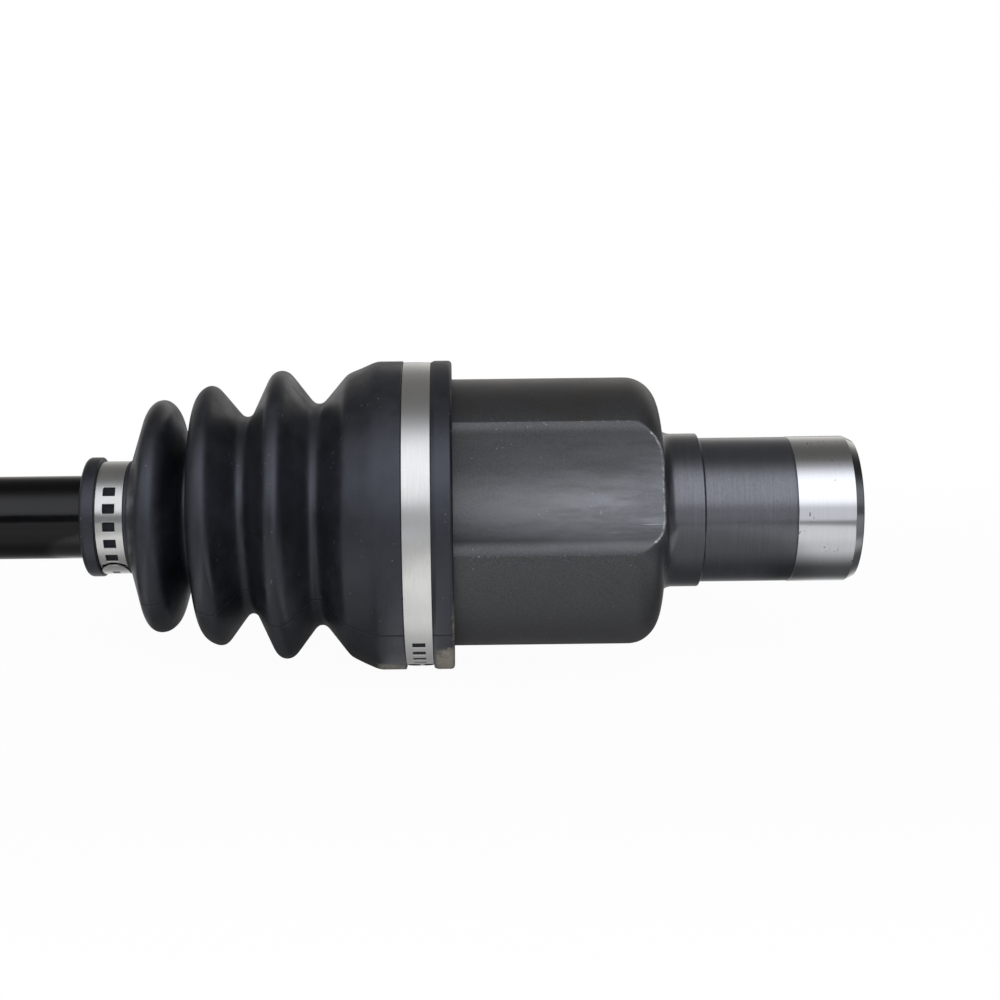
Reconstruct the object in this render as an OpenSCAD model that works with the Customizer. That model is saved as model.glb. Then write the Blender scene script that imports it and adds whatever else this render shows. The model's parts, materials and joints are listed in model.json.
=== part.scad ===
// Front drive shaft (half shaft) of a passenger car: a plunging tripod joint at the gearbox end,
// a plain bar and a fixed ball joint at the wheel end, each under a ribbed rubber boot.
// The shaft lies along X. The gearbox is on the +X side and the origin is the centre of the
// inboard end face, so every place along the shaft is negative.

/* [Shaft] */
// Distance between the centres of the two joints
joint_span = 432; // [330:1:700]
// Radius of the plain bar
bar_r = 12; // [11.6:0.1:13]
// Radius of the bar where it runs inside the joints
neck_r = 11; // [10.4:0.1:11.2]
// Height of the bar's spline teeth
bar_tooth_h = 1; // [0.6:0.1:1.4]
// Number of spline teeth on each end of the bar
bar_teeth = 24; // [18:1:32]

/* [Inboard stub] */
// Length of the stub from its end face to the collar
stub_length = 44.4; // [40:0.1:60]
// Radius of the ground seal journal
journal_r = 21; // [20.9:0.05:22]
// Length of the ground seal journal
journal_length = 16.2; // [12:0.1:20]
// Radius of the turned stretch behind the journal
turned_r = 20.7; // [20.2:0.05:20.8]
// Radius of the collar behind the turned stretch
collar_r = 22.2; // [22.2:0.1:24]
// Distance from the collar's chamfer to the back of the lobed body
collar_length = 11.2; // [9:0.1:16]
// Root fillet between the collar and the lobed body
root_fillet = 4.5; // [3:0.1:5]
// Radius of the plain pilot bore in the end face
pilot_r = 16.5; // [16:0.1:17]
// Depth of the pilot bore
pilot_depth = 6; // [4:0.5:10]
// Tip radius of the gearbox spline's teeth inside the stub
socket_r = 14.5; // [13.5:0.1:15]
// Depth of the spline's tooth spaces inside the stub
socket_tooth_h = 1.4; // [1:0.1:1.6]
// Number of teeth in the gearbox spline
socket_teeth = 27; // [20:1:34]

/* [Tripod housing] */
// Radius of the housing over its three lobes
housing_r = 38.65; // [38:0.05:40]
// Length of the lobed body from its back face to its mouth
housing_length = 78.4; // [74:0.1:100]
// Rounding of the lobed body's back edge
back_round = 8.7; // [6:0.1:9.5]
// Radius of the hollow between two lobes
trough_r = 28.5; // [24:0.1:32]
// Depth of that hollow under the lobes
trough_depth = 10.45; // [8:0.05:11]
// Rounding where a hollow meets a lobe
lobe_round = 3.4; // [2:0.1:4]
// Thickness of the floor behind the roller tracks
floor_t = 6.9; // [5:0.1:8]
// Distance from the mouth to the spider's centre
spider_depth = 36; // [34:0.5:38]
// Radius of the round space between the tracks
land_r = 21; // [20:0.1:22]
// Largest bend of the joint, which the tracks' flat tops clear
bend_max = 15; // [10:0.5:16]

/* [Tripod spider] */
// Distance from the shaft's axis to a roller's centre
roller_pitch_r = 23.5; // [23.3:0.05:24]
// Outer radius of a roller
roller_r = 15; // [14.5:0.05:15.2]
// Width of a roller
roller_w = 13; // [12:0.1:13.2]
// Radius of a trunnion
trunnion_r = 8.6; // [8:0.05:8.9]
// Radius of a needle
needle_r = 1.28; // [1.1:0.01:1.3]
// Needles under each roller
needle_count = 22; // [12:1:22]
// Radius of the spider's hub
hub_r = 16.2; // [15:0.1:16.4]
// Half the length of the spider's hub
hub_half = 12; // [10:0.5:13]

/* [Ball joint] */
// Distance from the joint's centre to a ball's centre
ball_pitch_r = 27; // [26.6:0.05:27.4]
// Radius of a ball
ball_r = 8; // [7.5:0.05:8.1]
// Radius of the inner race's ball surface
race_r = 23.5; // [23:0.05:24]
// Half the length of the inner race
race_half = 12; // [10:0.5:13]
// Wall of the cage between the races
cage_wall = 5.8; // [5:0.1:6]
// Half the width of the cage
cage_half = 14; // [13:0.5:15]
// Distance from the joint's centre to the bell's mouth
bell_mouth = 17; // [15:0.5:19]
// Radius of the bell under its boot
bell_r = 41; // [40:0.1:43]
// Distance from the joint's centre to the hub shoulder
shoulder_at = 36; // [34:0.5:45]
// Radius of the hub shoulder
shoulder_r = 25; // [22:0.5:28]

/* [Wheel stub] */
// Radius of the hub pilot
hub_pilot_r = 17; // [15:0.1:19]
// Length of the hub pilot
hub_pilot_length = 6; // [4:0.5:9]
// Root radius of the hub spline
hub_spline_r = 12.3; // [11.6:0.1:13]
// Height of the hub spline's teeth
hub_tooth_h = 1.1; // [0.8:0.1:1.5]
// Length of the hub spline
hub_spline_length = 32; // [24:1:45]
// Number of hub spline teeth
hub_teeth = 28; // [20:1:34]
// Radius over the thread for the axle nut
thread_r = 11; // [10:0.1:11.2]
// Length of the thread
thread_length = 18; // [14:1:26]

/* [Boots and clamps] */
// Thickness of the rubber in the folds
boot_wall = 2.4; // [1.8:0.1:2.6]
// Rubber on the housing or the bell under its clamp
cuff_rubber = 4.4; // [4:0.1:5]
// Length of the boot on the housing or the bell
cuff_on = 18.9; // [17:0.1:20]
// Width of a clamp band
band_w = 8; // [7:0.1:9]
// Thickness of a clamp band
band_t = 0.75; // [0.5:0.05:0.9]
// Length of the inboard boot from its small clamp to the housing's mouth
folds_length = 73.9; // [72:0.1:80]
// Places of the inboard boot's three folds, from the small clamp
fold_at = [8.2, 24.45, 44.2]; // [6:0.05:46]
// Radius over each fold
fold_top = [33.7, 37.6, 41.7]; // [30:0.1:46]
// Bend of each fold on the small side
fold_wide = [3.65, 5.2, 4.35]; // [3:0.05:6]
// Bend of each fold on the large side
fold_tight = [5.3, 2.7, 3.3]; // [2.6:0.05:6]
// Places of the roots that follow the folds
root_at = [17.5, 34.15, 54.5]; // [14:0.05:58]
// Radius of each root
fold_root = [19.9, 28.55, 32.1]; // [18:0.1:36]
// Bend of each root
root_bend = [1.65, 2.4, 2.5]; // [0.8:0.05:3]
// Distance from the cuff's full radius back to its shoulder
shoulder_back = 7.8; // [7:0.1:9]
// Rubber on the bar under its clamp
small_rubber = 3.35; // [3:0.05:4]
// Folds of the outboard boot
outer_folds = 5; // [4:1:6]
// Length of one fold of the outboard boot
outer_pitch = 14.6; // [13.5:0.1:16]
// Length of the outboard boot's cuff ahead of its folds
outer_cuff = 12; // [10:0.5:16]

/* [Fits] */
// Radial gap of ground running fits
run_gap = 0.02; // [0.01:0.01:0.04]
// Gap between the ball joint's sphere surfaces
sphere_gap = 0.1; // [0.05:0.01:0.15]
// Side clearance of a roller in its track
track_gap = 0.5; // [0.45:0.01:0.6]
// Clearance of a ball in its groove
groove_gap = 0.85; // [0.8:0.01:0.95]
// Gap of splines and seated rings
seat_gap = 0.05; // [0.02:0.01:0.1]

/* [Hidden] */
$fn = 96;
arc_steps = 8;
cut = 1;
steel = [0.30, 0.31, 0.34];
ground_steel = [0.78, 0.79, 0.81];
band_steel = [0.74, 0.74, 0.75];
rubber = [0.13, 0.13, 0.15];
black_paint = [0.06, 0.06, 0.07];

// Places along the shaft, from the inboard face at 0
stub_chamfer = 1.25;
back_x = -(stub_length + collar_length);
mouth_x = back_x - housing_length;
floor_x = back_x - floor_t;
spider_x = mouth_x + spider_depth;
race_x = spider_x - joint_span;
bell_x = race_x + bell_mouth;
track_dirs = [90, 210, 330];
trough_dirs = [30, 150, 270];

// Roller tracks and trunnions, measured out from the shaft's axis
track_r = roller_r + track_gap;
top_gap = 0.45;
roller_flat_r = sqrt(pow(roller_r, 2) - pow(roller_w / 2, 2));
track_top = (roller_pitch_r + roller_w / 2) * cos(bend_max) + roller_flat_r * sin(bend_max) + top_gap;
needle_pitch = trunnion_r + run_gap + needle_r;
roller_bore = needle_pitch + needle_r + run_gap;
washer_t = 0.8;
clip_t = 0.8;
washer_1 = roller_pitch_r - roller_w / 2 + 1.2;
needle_1 = washer_1 + washer_t + seat_gap;
clip_1 = roller_pitch_r + roller_w / 2 - clip_t;
washer_2 = clip_1 - washer_t - seat_gap;
needle_2 = washer_2 - seat_gap;
trunnion_top = clip_1 + clip_t + 0.5;
clip_groove_r = trunnion_r - 0.6;
plug_r = 17;
plug_t = 4;

// Bar ends
spline_over = 3.6;
ring_t = 1.6;
ring_groove = 0.6;
ring_stand = 1;
bar_spline_root = neck_r;
bar_spline_tip = neck_r + bar_tooth_h;

// Ball joint surfaces
cage_in_r = race_r + sphere_gap;
cage_out_r = cage_in_r + cage_wall;
bell_in_r = cage_out_r + sphere_gap;
groove_r = ball_r + groove_gap;
ball_dirs = [for (i = [0:5]) 30 + 60 * i];
stub_x = race_x - shoulder_at;
spline_x = stub_x - hub_pilot_length - 2;
thread_x = spline_x - hub_spline_length - 3;
wheel_end_x = thread_x - thread_length - 1;

// Boots: cuffs, clamps and small ends
band_back = 0.15;
lip_w = 5.9;
small_lip_w = 4.4;
small_lip_h = 1.95;
small_seat_r = bar_r + small_rubber;
neck_x = mouth_x - folds_length;
outer_neck_x = bell_x + outer_cuff + outer_folds * outer_pitch;
bead_w = 3.6;
bead_h = 0.6;
shoulder_drop = 5.5;
large_windows = 5;
large_window = [3.7, 2];
large_from = 216.8;
large_step = 5.9;
small_windows = 5;
small_window = [3.35, 2.6];
small_from = 134.4;
small_step = 18.5;

// A ring or shaft turned about X from points given as [x, radius]
module turned(points) {
  rotate([0, 90, 0]) rotate_extrude() polygon([for (p = points) [p[1], p[0]]]);
}

// A flat section in the YZ plane drawn out from one place along X to another
module drawn(from, to) {
  translate([from, 0, 0]) rotate([90, 0, 90]) linear_extrude(to - from) children();
}

// Places children on the direction that lies this many degrees round from +Y towards +Z
module facing(angle) {
  rotate([angle - 90, 0, 0]) children();
}

function arc(x, r, radius, a, b, steps = arc_steps) =
  [for (i = [0:steps]) let (t = a + (b - a) * i / steps) [x + radius * cos(t), r + radius * sin(t)]];

// Spline section: straight-sided teeth round a circle; grow widens it for the mating bore
module spline(teeth, root, tip, grow = 0) {
  pitch = 360 / teeth;
  root_side = pitch * 0.31 + grow / root * 57.3;
  tip_side = pitch * 0.19 + grow / tip * 57.3;
  polygon([for (i = [0:teeth - 1], c = [[-root_side, root], [-tip_side, tip], [tip_side, tip], [root_side, root]])
           (c[1] + grow) * [cos(i * pitch + c[0]), sin(i * pitch + c[0])]]);
}

// Section of the lobed housing: three arcs of the outside radius joined by three hollows, with
// a rounded corner between each; grow moves the whole outline outwards
function lobed_third(grow) =
  let (outer = housing_r + grow, cutter = trough_r - grow, round = lobe_round + grow,
       away = housing_r - trough_depth + trough_r, reach = outer - round,
       swing = acos((reach * reach + away * away - pow(cutter + round, 2)) / (2 * away * reach)),
       mid = reach * [cos(swing), sin(swing)],
       lean = atan2(mid[1], mid[0] - away))
  concat(arc(mid[0], -mid[1], round, -swing, 180 - lean),
         arc(away, 0, cutter, 360 - lean, lean, 2 * arc_steps),
         arc(mid[0], mid[1], round, lean - 180, swing),
         [for (i = [1:2 * arc_steps - 1]) let (t = swing + (120 - 2 * swing) * i / (2 * arc_steps))
          outer * [cos(t), sin(t)]]);
module lobed(grow = 0) {
  third = lobed_third(grow);
  polygon([for (a = trough_dirs, p = third) [p[0] * cos(a) - p[1] * sin(a), p[0] * sin(a) + p[1] * cos(a)]]);
}

// Section of the three roller tracks and the space between them
module tracks() {
  circle(land_r);
  for (a = track_dirs) rotate(a) {
    translate([0, -track_r]) square([roller_pitch_r, 2 * track_r]);
    intersection() {
      translate([roller_pitch_r, 0]) circle(track_r);
      translate([0, -track_r]) square([track_top, 2 * track_r]);
    }
  }
}

module tripod_housing() {
  step = 1.2;
  mouth_chamfer = 1;
  last_turn = 82;
  flare_r = land_r + 5.2;
  flare_l = 18;
  entry = 0.6;
  color(steel) difference() {
    union() {
      intersection() {
        drawn(mouth_x, back_x) lobed();
        turned(concat([[back_x, 0]], arc(back_x - back_round, housing_r - back_round, back_round, 0, last_turn),
                      [[back_x - back_round - 2 / tan(90 - last_turn), housing_r + 2],
                       [mouth_x + mouth_chamfer + 2, housing_r + 2], [mouth_x, housing_r - mouth_chamfer],
                       [mouth_x, 0]]));
      }
      turned(concat([[back_x - cut, 0], [back_x - cut, collar_r + root_fillet]],
                    arc(back_x + root_fillet, collar_r + root_fillet, root_fillet, 180, 270),
                    [[-stub_length - step, collar_r], [-stub_length, turned_r],
                     [-journal_length - 2 * stub_chamfer, turned_r], [-journal_length - 2 * stub_chamfer, journal_r],
                     [-2 * stub_chamfer, journal_r], [0, journal_r - stub_chamfer], [0, 0]]));
    }
    drawn(mouth_x - cut, floor_x) tracks();
    turned([[mouth_x - cut, 0], [mouth_x - cut, flare_r + cut * (flare_r - land_r) / flare_l],
            [mouth_x + flare_l, land_r], [mouth_x + flare_l, 0]]);
    turned([[floor_x - cut, 0], [floor_x - cut, plug_r], [back_x + 1, plug_r], [back_x + 2, socket_r],
            [back_x + 2, 0]]);
    turned([[back_x, 0], [back_x, socket_r - 0.8], [-pilot_depth, socket_r - 0.8], [-pilot_depth, 0]]);
    drawn(-stub_length, -pilot_depth + cut) spline(socket_teeth, socket_r, socket_r + socket_tooth_h);
    turned([[-stub_length - 4, 0], [-stub_length - 4, socket_r + socket_tooth_h + 0.3],
            [-stub_length + cut, socket_r + socket_tooth_h + 0.3], [-stub_length + cut, 0]]);
    turned([[-pilot_depth, 0], [-pilot_depth, pilot_r], [-entry, pilot_r], [cut, pilot_r + entry + cut],
            [cut, 0]]);
  }
}

// Pressed steel cup that keeps the joint's grease out of the spline bore
module grease_plug() {
  wall = 1.2;
  out_r = plug_r - run_gap;
  color(band_steel) turned([[floor_x + plug_t, 0], [floor_x + plug_t, out_r - 1], [floor_x + plug_t - 1, out_r],
                            [floor_x + 0.3, out_r], [floor_x + 0.3, out_r - wall],
                            [floor_x + plug_t - wall, out_r - wall], [floor_x + plug_t - wall, 0]]);
}

module spider() {
  edge = 1.2;
  boss_r = roller_bore - 0.7;
  point = 0.8;
  color(steel) difference() {
    union() {
      turned([[spider_x - hub_half, 0], [spider_x - hub_half, hub_r - edge], [spider_x - hub_half + edge, hub_r],
              [spider_x + hub_half - edge, hub_r], [spider_x + hub_half, hub_r - edge], [spider_x + hub_half, 0]]);
      for (a = track_dirs) translate([spider_x, 0, 0]) facing(a) rotate_extrude()
        polygon([[0, 0], [boss_r, 0], [boss_r, washer_1 - seat_gap], [trunnion_r, washer_1 - seat_gap],
                 [trunnion_r, clip_1 - seat_gap], [clip_groove_r, clip_1 - seat_gap],
                 [clip_groove_r, clip_1 + clip_t + seat_gap], [trunnion_r - point / 2, clip_1 + clip_t + seat_gap],
                 [trunnion_r - point, trunnion_top], [0, trunnion_top]]);
    }
    drawn(spider_x - hub_half - cut, spider_x + hub_half + cut)
      spline(bar_teeth, bar_spline_root, bar_spline_tip, seat_gap);
  }
}

// A needle-borne roller: a ball-shaped rim with a plain bore
module roller(dir) {
  color(ground_steel) translate([spider_x, 0, 0]) facing(dir) translate([0, 0, roller_pitch_r]) difference() {
    intersection() {
      sphere(roller_r);
      cylinder(r = roller_r, h = roller_w, center = true);
    }
    cylinder(r = roller_bore, h = roller_w + 2 * cut, center = true);
  }
}
module roller_a() { roller(track_dirs[0]); }
module roller_b() { roller(track_dirs[1]); }
module roller_c() { roller(track_dirs[2]); }

module needle_rollers() {
  color(ground_steel) for (a = track_dirs, i = [0:needle_count - 1])
    translate([spider_x, 0, 0]) facing(a) rotate(i * 360 / needle_count)
      translate([needle_pitch, 0, needle_1]) cylinder(r = needle_r, h = needle_2 - needle_1, $fn = 24);
}

// A flat ring on each trunnion, from one distance out to another
module trunnion_rings(from, thick, bore, rim, gap_angle = 0) {
  for (a = track_dirs) translate([spider_x, 0, 0]) facing(a) translate([0, 0, from])
    rotate_extrude(angle = 360 - gap_angle)
      translate([bore, 0]) square([rim - bore, thick]);
}

module needle_washers() {
  rim = roller_bore - 0.1;
  color(steel) {
    trunnion_rings(washer_1, washer_t, trunnion_r + seat_gap, rim);
    trunnion_rings(washer_2, washer_t, trunnion_r + seat_gap, rim);
  }
}

module trunnion_clips() {
  color(steel) trunnion_rings(clip_1, clip_t, clip_groove_r + seat_gap, trunnion_r + 1.5, 40);
}

// An open snap ring round the bar, from one place along X
module snap_ring(x) {
  translate([x, 0, 0]) rotate([0, 90, 0]) rotate([0, 0, 20]) rotate_extrude(angle = 320)
    translate([bar_spline_root - ring_groove + seat_gap, 0])
      square([bar_tooth_h + ring_groove + ring_stand, ring_t]);
}
module spider_circlip() { color(band_steel) snap_ring(spider_x + hub_half + seat_gap); }
module spider_stop_ring() { color(band_steel) snap_ring(spider_x - hub_half - seat_gap - ring_t); }
module race_circlip() { color(band_steel) snap_ring(race_x - race_half - seat_gap - ring_t); }
module race_stop_ring() { color(band_steel) snap_ring(race_x + race_half + seat_gap); }

module bar() {
  end_in = spider_x + hub_half + spline_over;
  end_out = race_x - race_half - spline_over;
  spline_in = spider_x - hub_half - 4;
  spline_out = race_x + race_half + 4;
  taper = 10;
  point = 1;
  seat_in = neck_x - 0.4 - band_w / 2;
  seat_out = outer_neck_x + 0.4 + band_w / 2;
  color(black_paint) difference() {
    union() {
      turned([[end_out, 0], [end_out, bar_spline_root - point], [end_out + point, bar_spline_root],
              [spline_out + taper, neck_r], [seat_out - band_w - 2 * taper, neck_r],
              [seat_out - band_w - taper, bar_r],
              [seat_out - bead_w / 2, bar_r], [seat_out - bead_w / 2, bar_r - bead_h],
              [seat_out + bead_w / 2, bar_r - bead_h], [seat_out + bead_w / 2, bar_r],
              [seat_in - bead_w / 2, bar_r], [seat_in - bead_w / 2, bar_r - bead_h],
              [seat_in + bead_w / 2, bar_r - bead_h], [seat_in + bead_w / 2, bar_r],
              [seat_in + band_w + taper, bar_r], [seat_in + band_w + 2 * taper, neck_r],
              [end_in - point, neck_r], [end_in, bar_spline_root - point], [end_in, 0]]);
      drawn(spline_in, end_in - point) spline(bar_teeth, bar_spline_root, bar_spline_tip);
      drawn(end_out + point, spline_out) spline(bar_teeth, bar_spline_root, bar_spline_tip);
    }
    for (x = [spider_x + hub_half, spider_x - hub_half - 2 * seat_gap - ring_t,
              race_x - race_half - 2 * seat_gap - ring_t, race_x + race_half])
      turned([[x, bar_spline_root - ring_groove], [x, bar_spline_tip + cut],
              [x + ring_t + 2 * seat_gap, bar_spline_tip + cut],
              [x + ring_t + 2 * seat_gap, bar_spline_root - ring_groove]]);
  }
}

// Bellows outline. Each entry is a round bend [x, radius, bend]: a positive bend is a fold's
// top and a negative one is a root. Straight flanks join them, and inset goes into the rubber.
function flank(f, i) =
  let (d = [f[i + 1][0] - f[i][0], f[i + 1][1] - f[i][1]])
  atan2(d[1], d[0]) + acos((f[i][2] - f[i + 1][2]) / norm(d));
function bellows(f, inset) =
  [for (i = [1:len(f) - 2]) let (a = flank(f, i - 1), b = flank(f, i)) for (k = [0:arc_steps])
   let (t = a + (b - a) * k / arc_steps) [f[i][0], f[i][1]] + (f[i][2] - inset) * [cos(t), sin(t)]];

// A fold leans to the small end: a wide bend on that side and a tight one on the other
function fold(x, top, wide, tight) = [[x + 0.5, top - wide, wide], [x, top - tight, tight]];
function root(x, r, bend) = [[x, r + bend, -bend]];

// Small end of a boot: lip, clamp seat and neck, seen from the fold side at 0
function small_outer(neck_r) = [
  [-band_w - 0.4 - small_lip_w, small_seat_r + small_lip_h - 1.6],
  [-band_w - 0.4 - small_lip_w + 1.6, small_seat_r + small_lip_h],
  [-band_w - 0.4 - 0.6, small_seat_r + small_lip_h], [-band_w - 0.4, small_seat_r + small_lip_h - 0.6],
  [-band_w - 0.4, small_seat_r], [-0.4, small_seat_r], [-0.4, neck_r], [0, neck_r]];
function small_inner() = let (mid = -0.4 - band_w / 2, bore = bar_r + seat_gap, half = bead_w / 2 - seat_gap) [
  [3, bore], [mid + half, bore], [mid + half, bore - bead_h], [mid - half, bore - bead_h], [mid - half, bore],
  [-band_w - 0.4 - small_lip_w, bore]];
// Large end: cuff, clamp seat and lip; end is the boot's last place and at_r the cuff's radius
function large_outer(end, at_r) = let (seat = at_r - 1.7) [
  [end - lip_w - band_w, at_r], [end - lip_w - band_w, seat], [end - lip_w, seat], [end - lip_w, at_r - 0.4],
  [end - lip_w + 0.6, at_r + 0.2], [end - 1.2, at_r + 0.2], [end, at_r - 1]];

module inboard_boot() {
  mouth = mouth_x - neck_x;
  end = mouth + cuff_on;
  cuff_r = housing_r + cuff_rubber + 1.75;
  stop = housing_r - 1.8;
  fill = housing_r - trough_depth - 1;
  first = [[0, small_seat_r + 1, 0]];
  folds = [for (i = [0:2], e = [0:2])
    e < 2 ? fold(fold_at[i], fold_top[i], fold_wide[i], fold_tight[i])[e]
          : root(root_at[i], fold_root[i], root_bend[i])[0]];
  bend = 3;
  cuff_at = mouth - 2.1;
  edge = [[cuff_at - shoulder_back, cuff_r - shoulder_drop, bend - 1]];
  inner_edge = [[cuff_at - shoulder_back + 1, cuff_r - shoulder_drop - 1.4, boot_wall + 1]];
  cuff = [[cuff_at, cuff_r - bend, bend], [end - lip_w - band_w, cuff_r, 0]];
  color(rubber) translate([neck_x, 0, 0]) difference() {
    turned(concat(small_outer(small_seat_r + 1), bellows(concat(first, folds, edge, cuff), 0),
                  large_outer(end, cuff_r),
                  [[end, fill], [mouth - seat_gap, fill], [mouth - seat_gap, stop], [mouth - 2, stop]],
                  reverse(bellows(concat(first, folds, inner_edge, cuff), boot_wall)), small_inner()));
    drawn(mouth - seat_gap, end + cut) lobed(seat_gap);
  }
}

function reverse(list) = [for (i = [len(list) - 1:-1:0]) list[i]];

module outboard_boot() {
  length = outer_neck_x - bell_x;
  end = length + cuff_on;
  cuff_r = bell_r + 4;
  first = [[0, small_seat_r + 1, 0]];
  low = 26;
  rise = (cuff_r - 2.5 - low) / (outer_folds - 1);
  folds = [for (i = [0:outer_folds - 1], e = [0:2])
    let (x = 7 + i * outer_pitch, top = low + i * rise, deep = top - 7.5)
    e < 2 ? fold(x, top, 4.2, 3)[e] : root(x + outer_pitch / 2 + 0.6, deep, 1.6)[0]];
  cuff = [[length - 2.4, cuff_r - 3, 3], [end - lip_w - band_w, cuff_r, 0]];
  color(rubber) translate([outer_neck_x, 0, 0]) mirror([1, 0, 0])
    turned(concat(small_outer(small_seat_r + 1), bellows(concat(first, folds, cuff), 0),
                  large_outer(end, cuff_r),
                  [[end, bell_r + seat_gap], [length - seat_gap, bell_r + seat_gap],
                   [length - seat_gap, bell_r - 1.8], [length - 2, bell_r - 1.8]],
                  reverse(bellows(concat(first, folds, cuff), boot_wall)), small_inner()));
}

// Clamp band: a ring with windows from one angle on, and a rounded tongue lapped over its end
module band(x, r, windows, from, step, size) {
  lap = 0.45;
  tongue_w = band_w - 1;
  tongue_turn = 46;
  tongue_at = from + (windows - 0.5) * step;
  color(band_steel) {
    difference() {
      turned([[x - band_w / 2 + band_back, r], [x - band_w / 2 + band_back, r + band_t],
              [x + band_w / 2 - band_back, r + band_t], [x + band_w / 2 - band_back, r]]);
      for (i = [0:windows - 1]) facing(from + i * step)
        translate([x - size[0] / 2, -size[1] / 2, r - cut]) cube([size[0], size[1], band_t + 2 * cut]);
    }
    difference() {
      rotate([0, 90, 0]) rotate([0, 0, tongue_at + 90]) rotate_extrude(angle = tongue_turn)
        translate([r + band_t / 2, x - tongue_w / 2]) square([band_t / 2 + lap, tongue_w]);
      facing(tongue_at + tongue_turn / 3)
        translate([x - size[0] / 2, -size[1] / 2, r - cut]) cube([size[0], size[1], band_t + lap + 2 * cut]);
    }
  }
}

module inboard_clamp_large() {
  band(mouth_x + cuff_on - lip_w - band_w / 2, housing_r + cuff_rubber + 0.05 + run_gap, large_windows,
       large_from, large_step, large_window);
}
module inboard_clamp_small() {
  band(neck_x - 0.4 - band_w / 2, small_seat_r + run_gap, small_windows, small_from, small_step,
       small_window);
}
module outboard_clamp_large() {
  band(bell_x - cuff_on + lip_w + band_w / 2, bell_r + 2.3 + run_gap, large_windows, large_from, large_step,
       large_window);
}
module outboard_clamp_small() {
  band(outer_neck_x + 0.4 + band_w / 2, small_seat_r + run_gap, small_windows, small_from, small_step,
       small_window);
}

// Six ball grooves about the joint's centre, as rings of this section radius
module grooves(from, turn) {
  for (a = ball_dirs) facing(a) rotate([90, 0, 0]) rotate([0, 0, from]) rotate_extrude(angle = turn)
    translate([ball_pitch_r, 0]) circle(groove_r, $fn = 48);
}

module inner_race() {
  color(ground_steel) translate([race_x, 0, 0]) difference() {
    intersection() {
      sphere(race_r);
      rotate([0, 90, 0]) cylinder(r = race_r, h = 2 * race_half, center = true);
    }
    grooves(48, 84);
    drawn(-race_half - cut, race_half + cut) spline(bar_teeth, bar_spline_root, bar_spline_tip, seat_gap);
  }
}

module cage() {
  window_l = 17.5;
  color(steel) translate([race_x, 0, 0]) difference() {
    intersection() {
      sphere(cage_out_r);
      rotate([0, 90, 0]) cylinder(r = cage_out_r, h = 2 * cage_half, center = true);
    }
    sphere(cage_in_r);
    for (a = ball_dirs) facing(a) translate([0, 0, ball_pitch_r])
      cube([2 * (ball_r + run_gap), window_l, 2 * ball_r], center = true);
  }
}

module balls() {
  color(ground_steel) for (a = ball_dirs) translate([race_x, 0, 0]) facing(a)
    translate([0, 0, ball_pitch_r]) sphere(ball_r);
}

module bell() {
  rim = 1;
  dome_r = bell_r + 1.8;
  dome_x = -(cuff_on - bell_mouth) - 1.2;
  boss_x = -shoulder_at + 3;
  dome_in = asin(-dome_x / dome_r) + 90;
  dome_out = 180 - asin(shoulder_r / dome_r);
  flare_x = 10.2;
  relief = 0.5;
  slot_w = 3;
  slot_l = thread_length * 0.4;
  color(steel) difference() {
    union() {
      turned(concat([[bell_x, 0], [bell_x, bell_r - rim], [bell_x - rim, bell_r], [race_x + dome_x, bell_r]],
                    arc(race_x, 0, dome_r, dome_in, dome_out),
                    [[stub_x + 0.8, shoulder_r], [stub_x, shoulder_r - 0.8], [stub_x, hub_pilot_r],
                     [stub_x - hub_pilot_length + relief, hub_pilot_r],
                     [stub_x - hub_pilot_length, hub_pilot_r - relief],
                     [stub_x - hub_pilot_length, hub_spline_r], [thread_x + 3, hub_spline_r],
                     [thread_x + 3, thread_r - 1.2], [thread_x, thread_r - 1.2], [thread_x, thread_r],
                     [wheel_end_x + 1, thread_r], [wheel_end_x, thread_r - 1], [wheel_end_x, 0]]));
      drawn(spline_x - hub_spline_length, spline_x) spline(hub_teeth, hub_spline_r, hub_spline_r + hub_tooth_h);
    }
    translate([race_x, 0, 0]) {
      rotate([0, 90, 0]) sphere(bell_in_r);
      grooves(50, 83);
      turned([[flare_x, 0], [flare_x, 27.7], [bell_mouth + cut, 31.6], [bell_mouth + cut, 0]]);
    }
    translate([wheel_end_x - cut, -slot_w / 2, thread_r - 2.6]) cube([slot_l + cut, slot_w, 2.6 + cut]);
    turned([[wheel_end_x - cut, 0], [wheel_end_x - cut, 4 + cut], [wheel_end_x + 4, 0]]);
  }
}

tripod_housing();
grease_plug();
spider();
roller_a();
roller_b();
roller_c();
needle_rollers();
needle_washers();
trunnion_clips();
spider_circlip();
spider_stop_ring();
bar();
inboard_boot();
inboard_clamp_large();
inboard_clamp_small();
outboard_boot();
outboard_clamp_large();
outboard_clamp_small();
inner_race();
race_circlip();
race_stop_ring();
cage();
balls();
bell();
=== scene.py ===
import json
import math

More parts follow.
